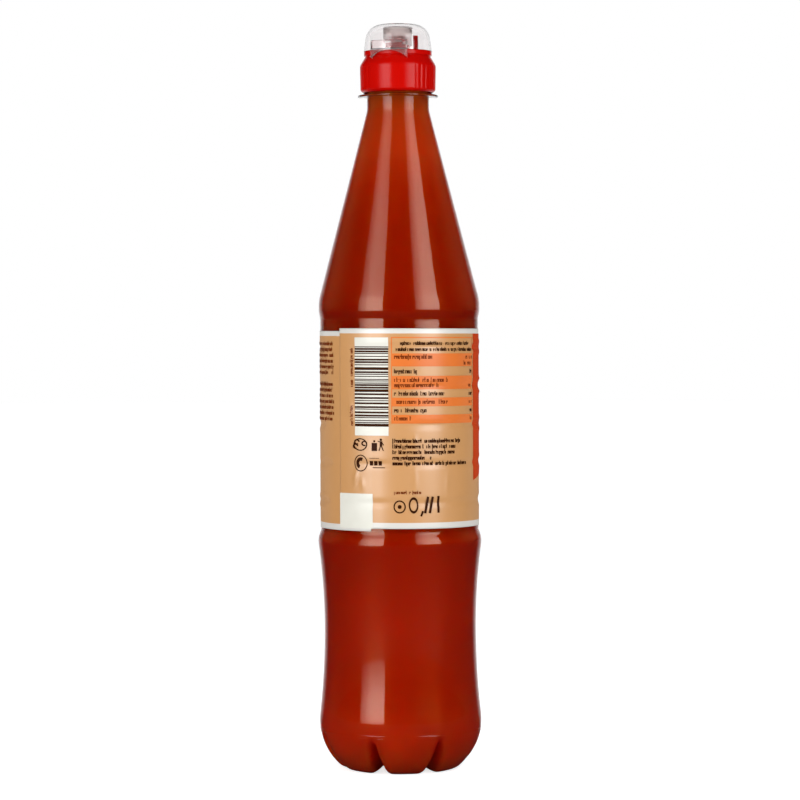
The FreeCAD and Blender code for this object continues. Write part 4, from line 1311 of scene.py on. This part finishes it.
class SYRUPBOTTLE_OT_stage(bpy.types.Operator):
    """Add the floor, the soft light and the camera"""

    bl_idname = "syrup_bottle.stage"
    bl_label = "Stage"

    def execute(self, context):
        settings = context.scene.syrup_stage
        objects = context.scene.collection.objects
        mesh = bpy.data.meshes.new("floor")
        mesh.from_pydata([(-6, -6, 0), (6, -6, 0), (6, 6, 0), (-6, 6, 0)], [], [(0, 1, 2, 3)])
        mesh.materials.append(floor_material(settings.floor_glow, settings.surround))
        floor = bpy.data.objects.new("floor", mesh)
        objects.link(floor)

        context.scene.world = surround(settings.surround)
        for side, foot in ((-1, 0.0), (1, 0.1)):
            objects.link(softbox(side * settings.lamp_azimuth, foot, settings.lamp_power))

        camera = bpy.data.objects.new("camera", bpy.data.cameras.new("camera"))
        camera.data.lens = settings.lens
        camera.data.sensor_width = 36
        camera.location = (0, -settings.distance, settings.height)
        camera.rotation_euler = (math.pi / 2 - settings.pitch, 0, -settings.yaw)
        camera.rotation_euler.rotate_axis("Z", settings.roll)
        objects.link(camera)
        context.scene.camera = camera
        context.scene.view_settings.view_transform = "Standard"
        return {"FINISHED"}


OPERATORS = (
    SYRUPBOTTLE_OT_wall,
    SYRUPBOTTLE_OT_syrup,
    SYRUPBOTTLE_OT_label,
    SYRUPBOTTLE_OT_print,
    SYRUPBOTTLE_OT_cap,
    SYRUPBOTTLE_OT_overcap,
    SYRUPBOTTLE_OT_stage,
)

GROUPS = {
    "syrup_bottle": SYRUPBOTTLE_PG_bottle,
    "syrup_label": SYRUPBOTTLE_PG_label,
    "syrup_cap": SYRUPBOTTLE_PG_cap,
    "syrup_stage": SYRUPBOTTLE_PG_stage,
}


class SYRUPBOTTLE_PT_panel(bpy.types.Panel):
    """Lists the steps that build the bottle, and their settings."""

    bl_idname = "SYRUPBOTTLE_PT_panel"
    bl_label = "Syrup Bottle"
    bl_space_type = "VIEW_3D"
    bl_region_type = "UI"
    bl_category = "Syrup"

    def draw(self, context):
        for operator in OPERATORS:
            self.layout.operator(operator.bl_idname)
        for group in GROUPS:
            settings = getattr(context.scene, group)
            for name in settings.bl_rna.properties.keys():
                if name not in ("rna_type", "name"):
                    self.layout.prop(settings, name)


def register():
    """Register the settings, operators and panel."""
    for name, group in GROUPS.items():
        bpy.utils.register_class(group)
        setattr(bpy.types.Scene, name, bpy.props.PointerProperty(type=group))
    for made in (*OPERATORS, SYRUPBOTTLE_PT_panel):
        bpy.utils.register_class(made)


def unregister():
    """Take them out again."""
    for made in reversed((*OPERATORS, SYRUPBOTTLE_PT_panel)):
        bpy.utils.unregister_class(made)
    for name, group in GROUPS.items():
        delattr(bpy.types.Scene, name)
        bpy.utils.unregister_class(group)


def main():
    """Build every piece and the stage."""
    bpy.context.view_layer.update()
    register()
    for operator in OPERATORS:
        group, name = operator.bl_idname.split(".")
        getattr(getattr(bpy.ops, group), name)()


if __name__ == "__main__":
    main()
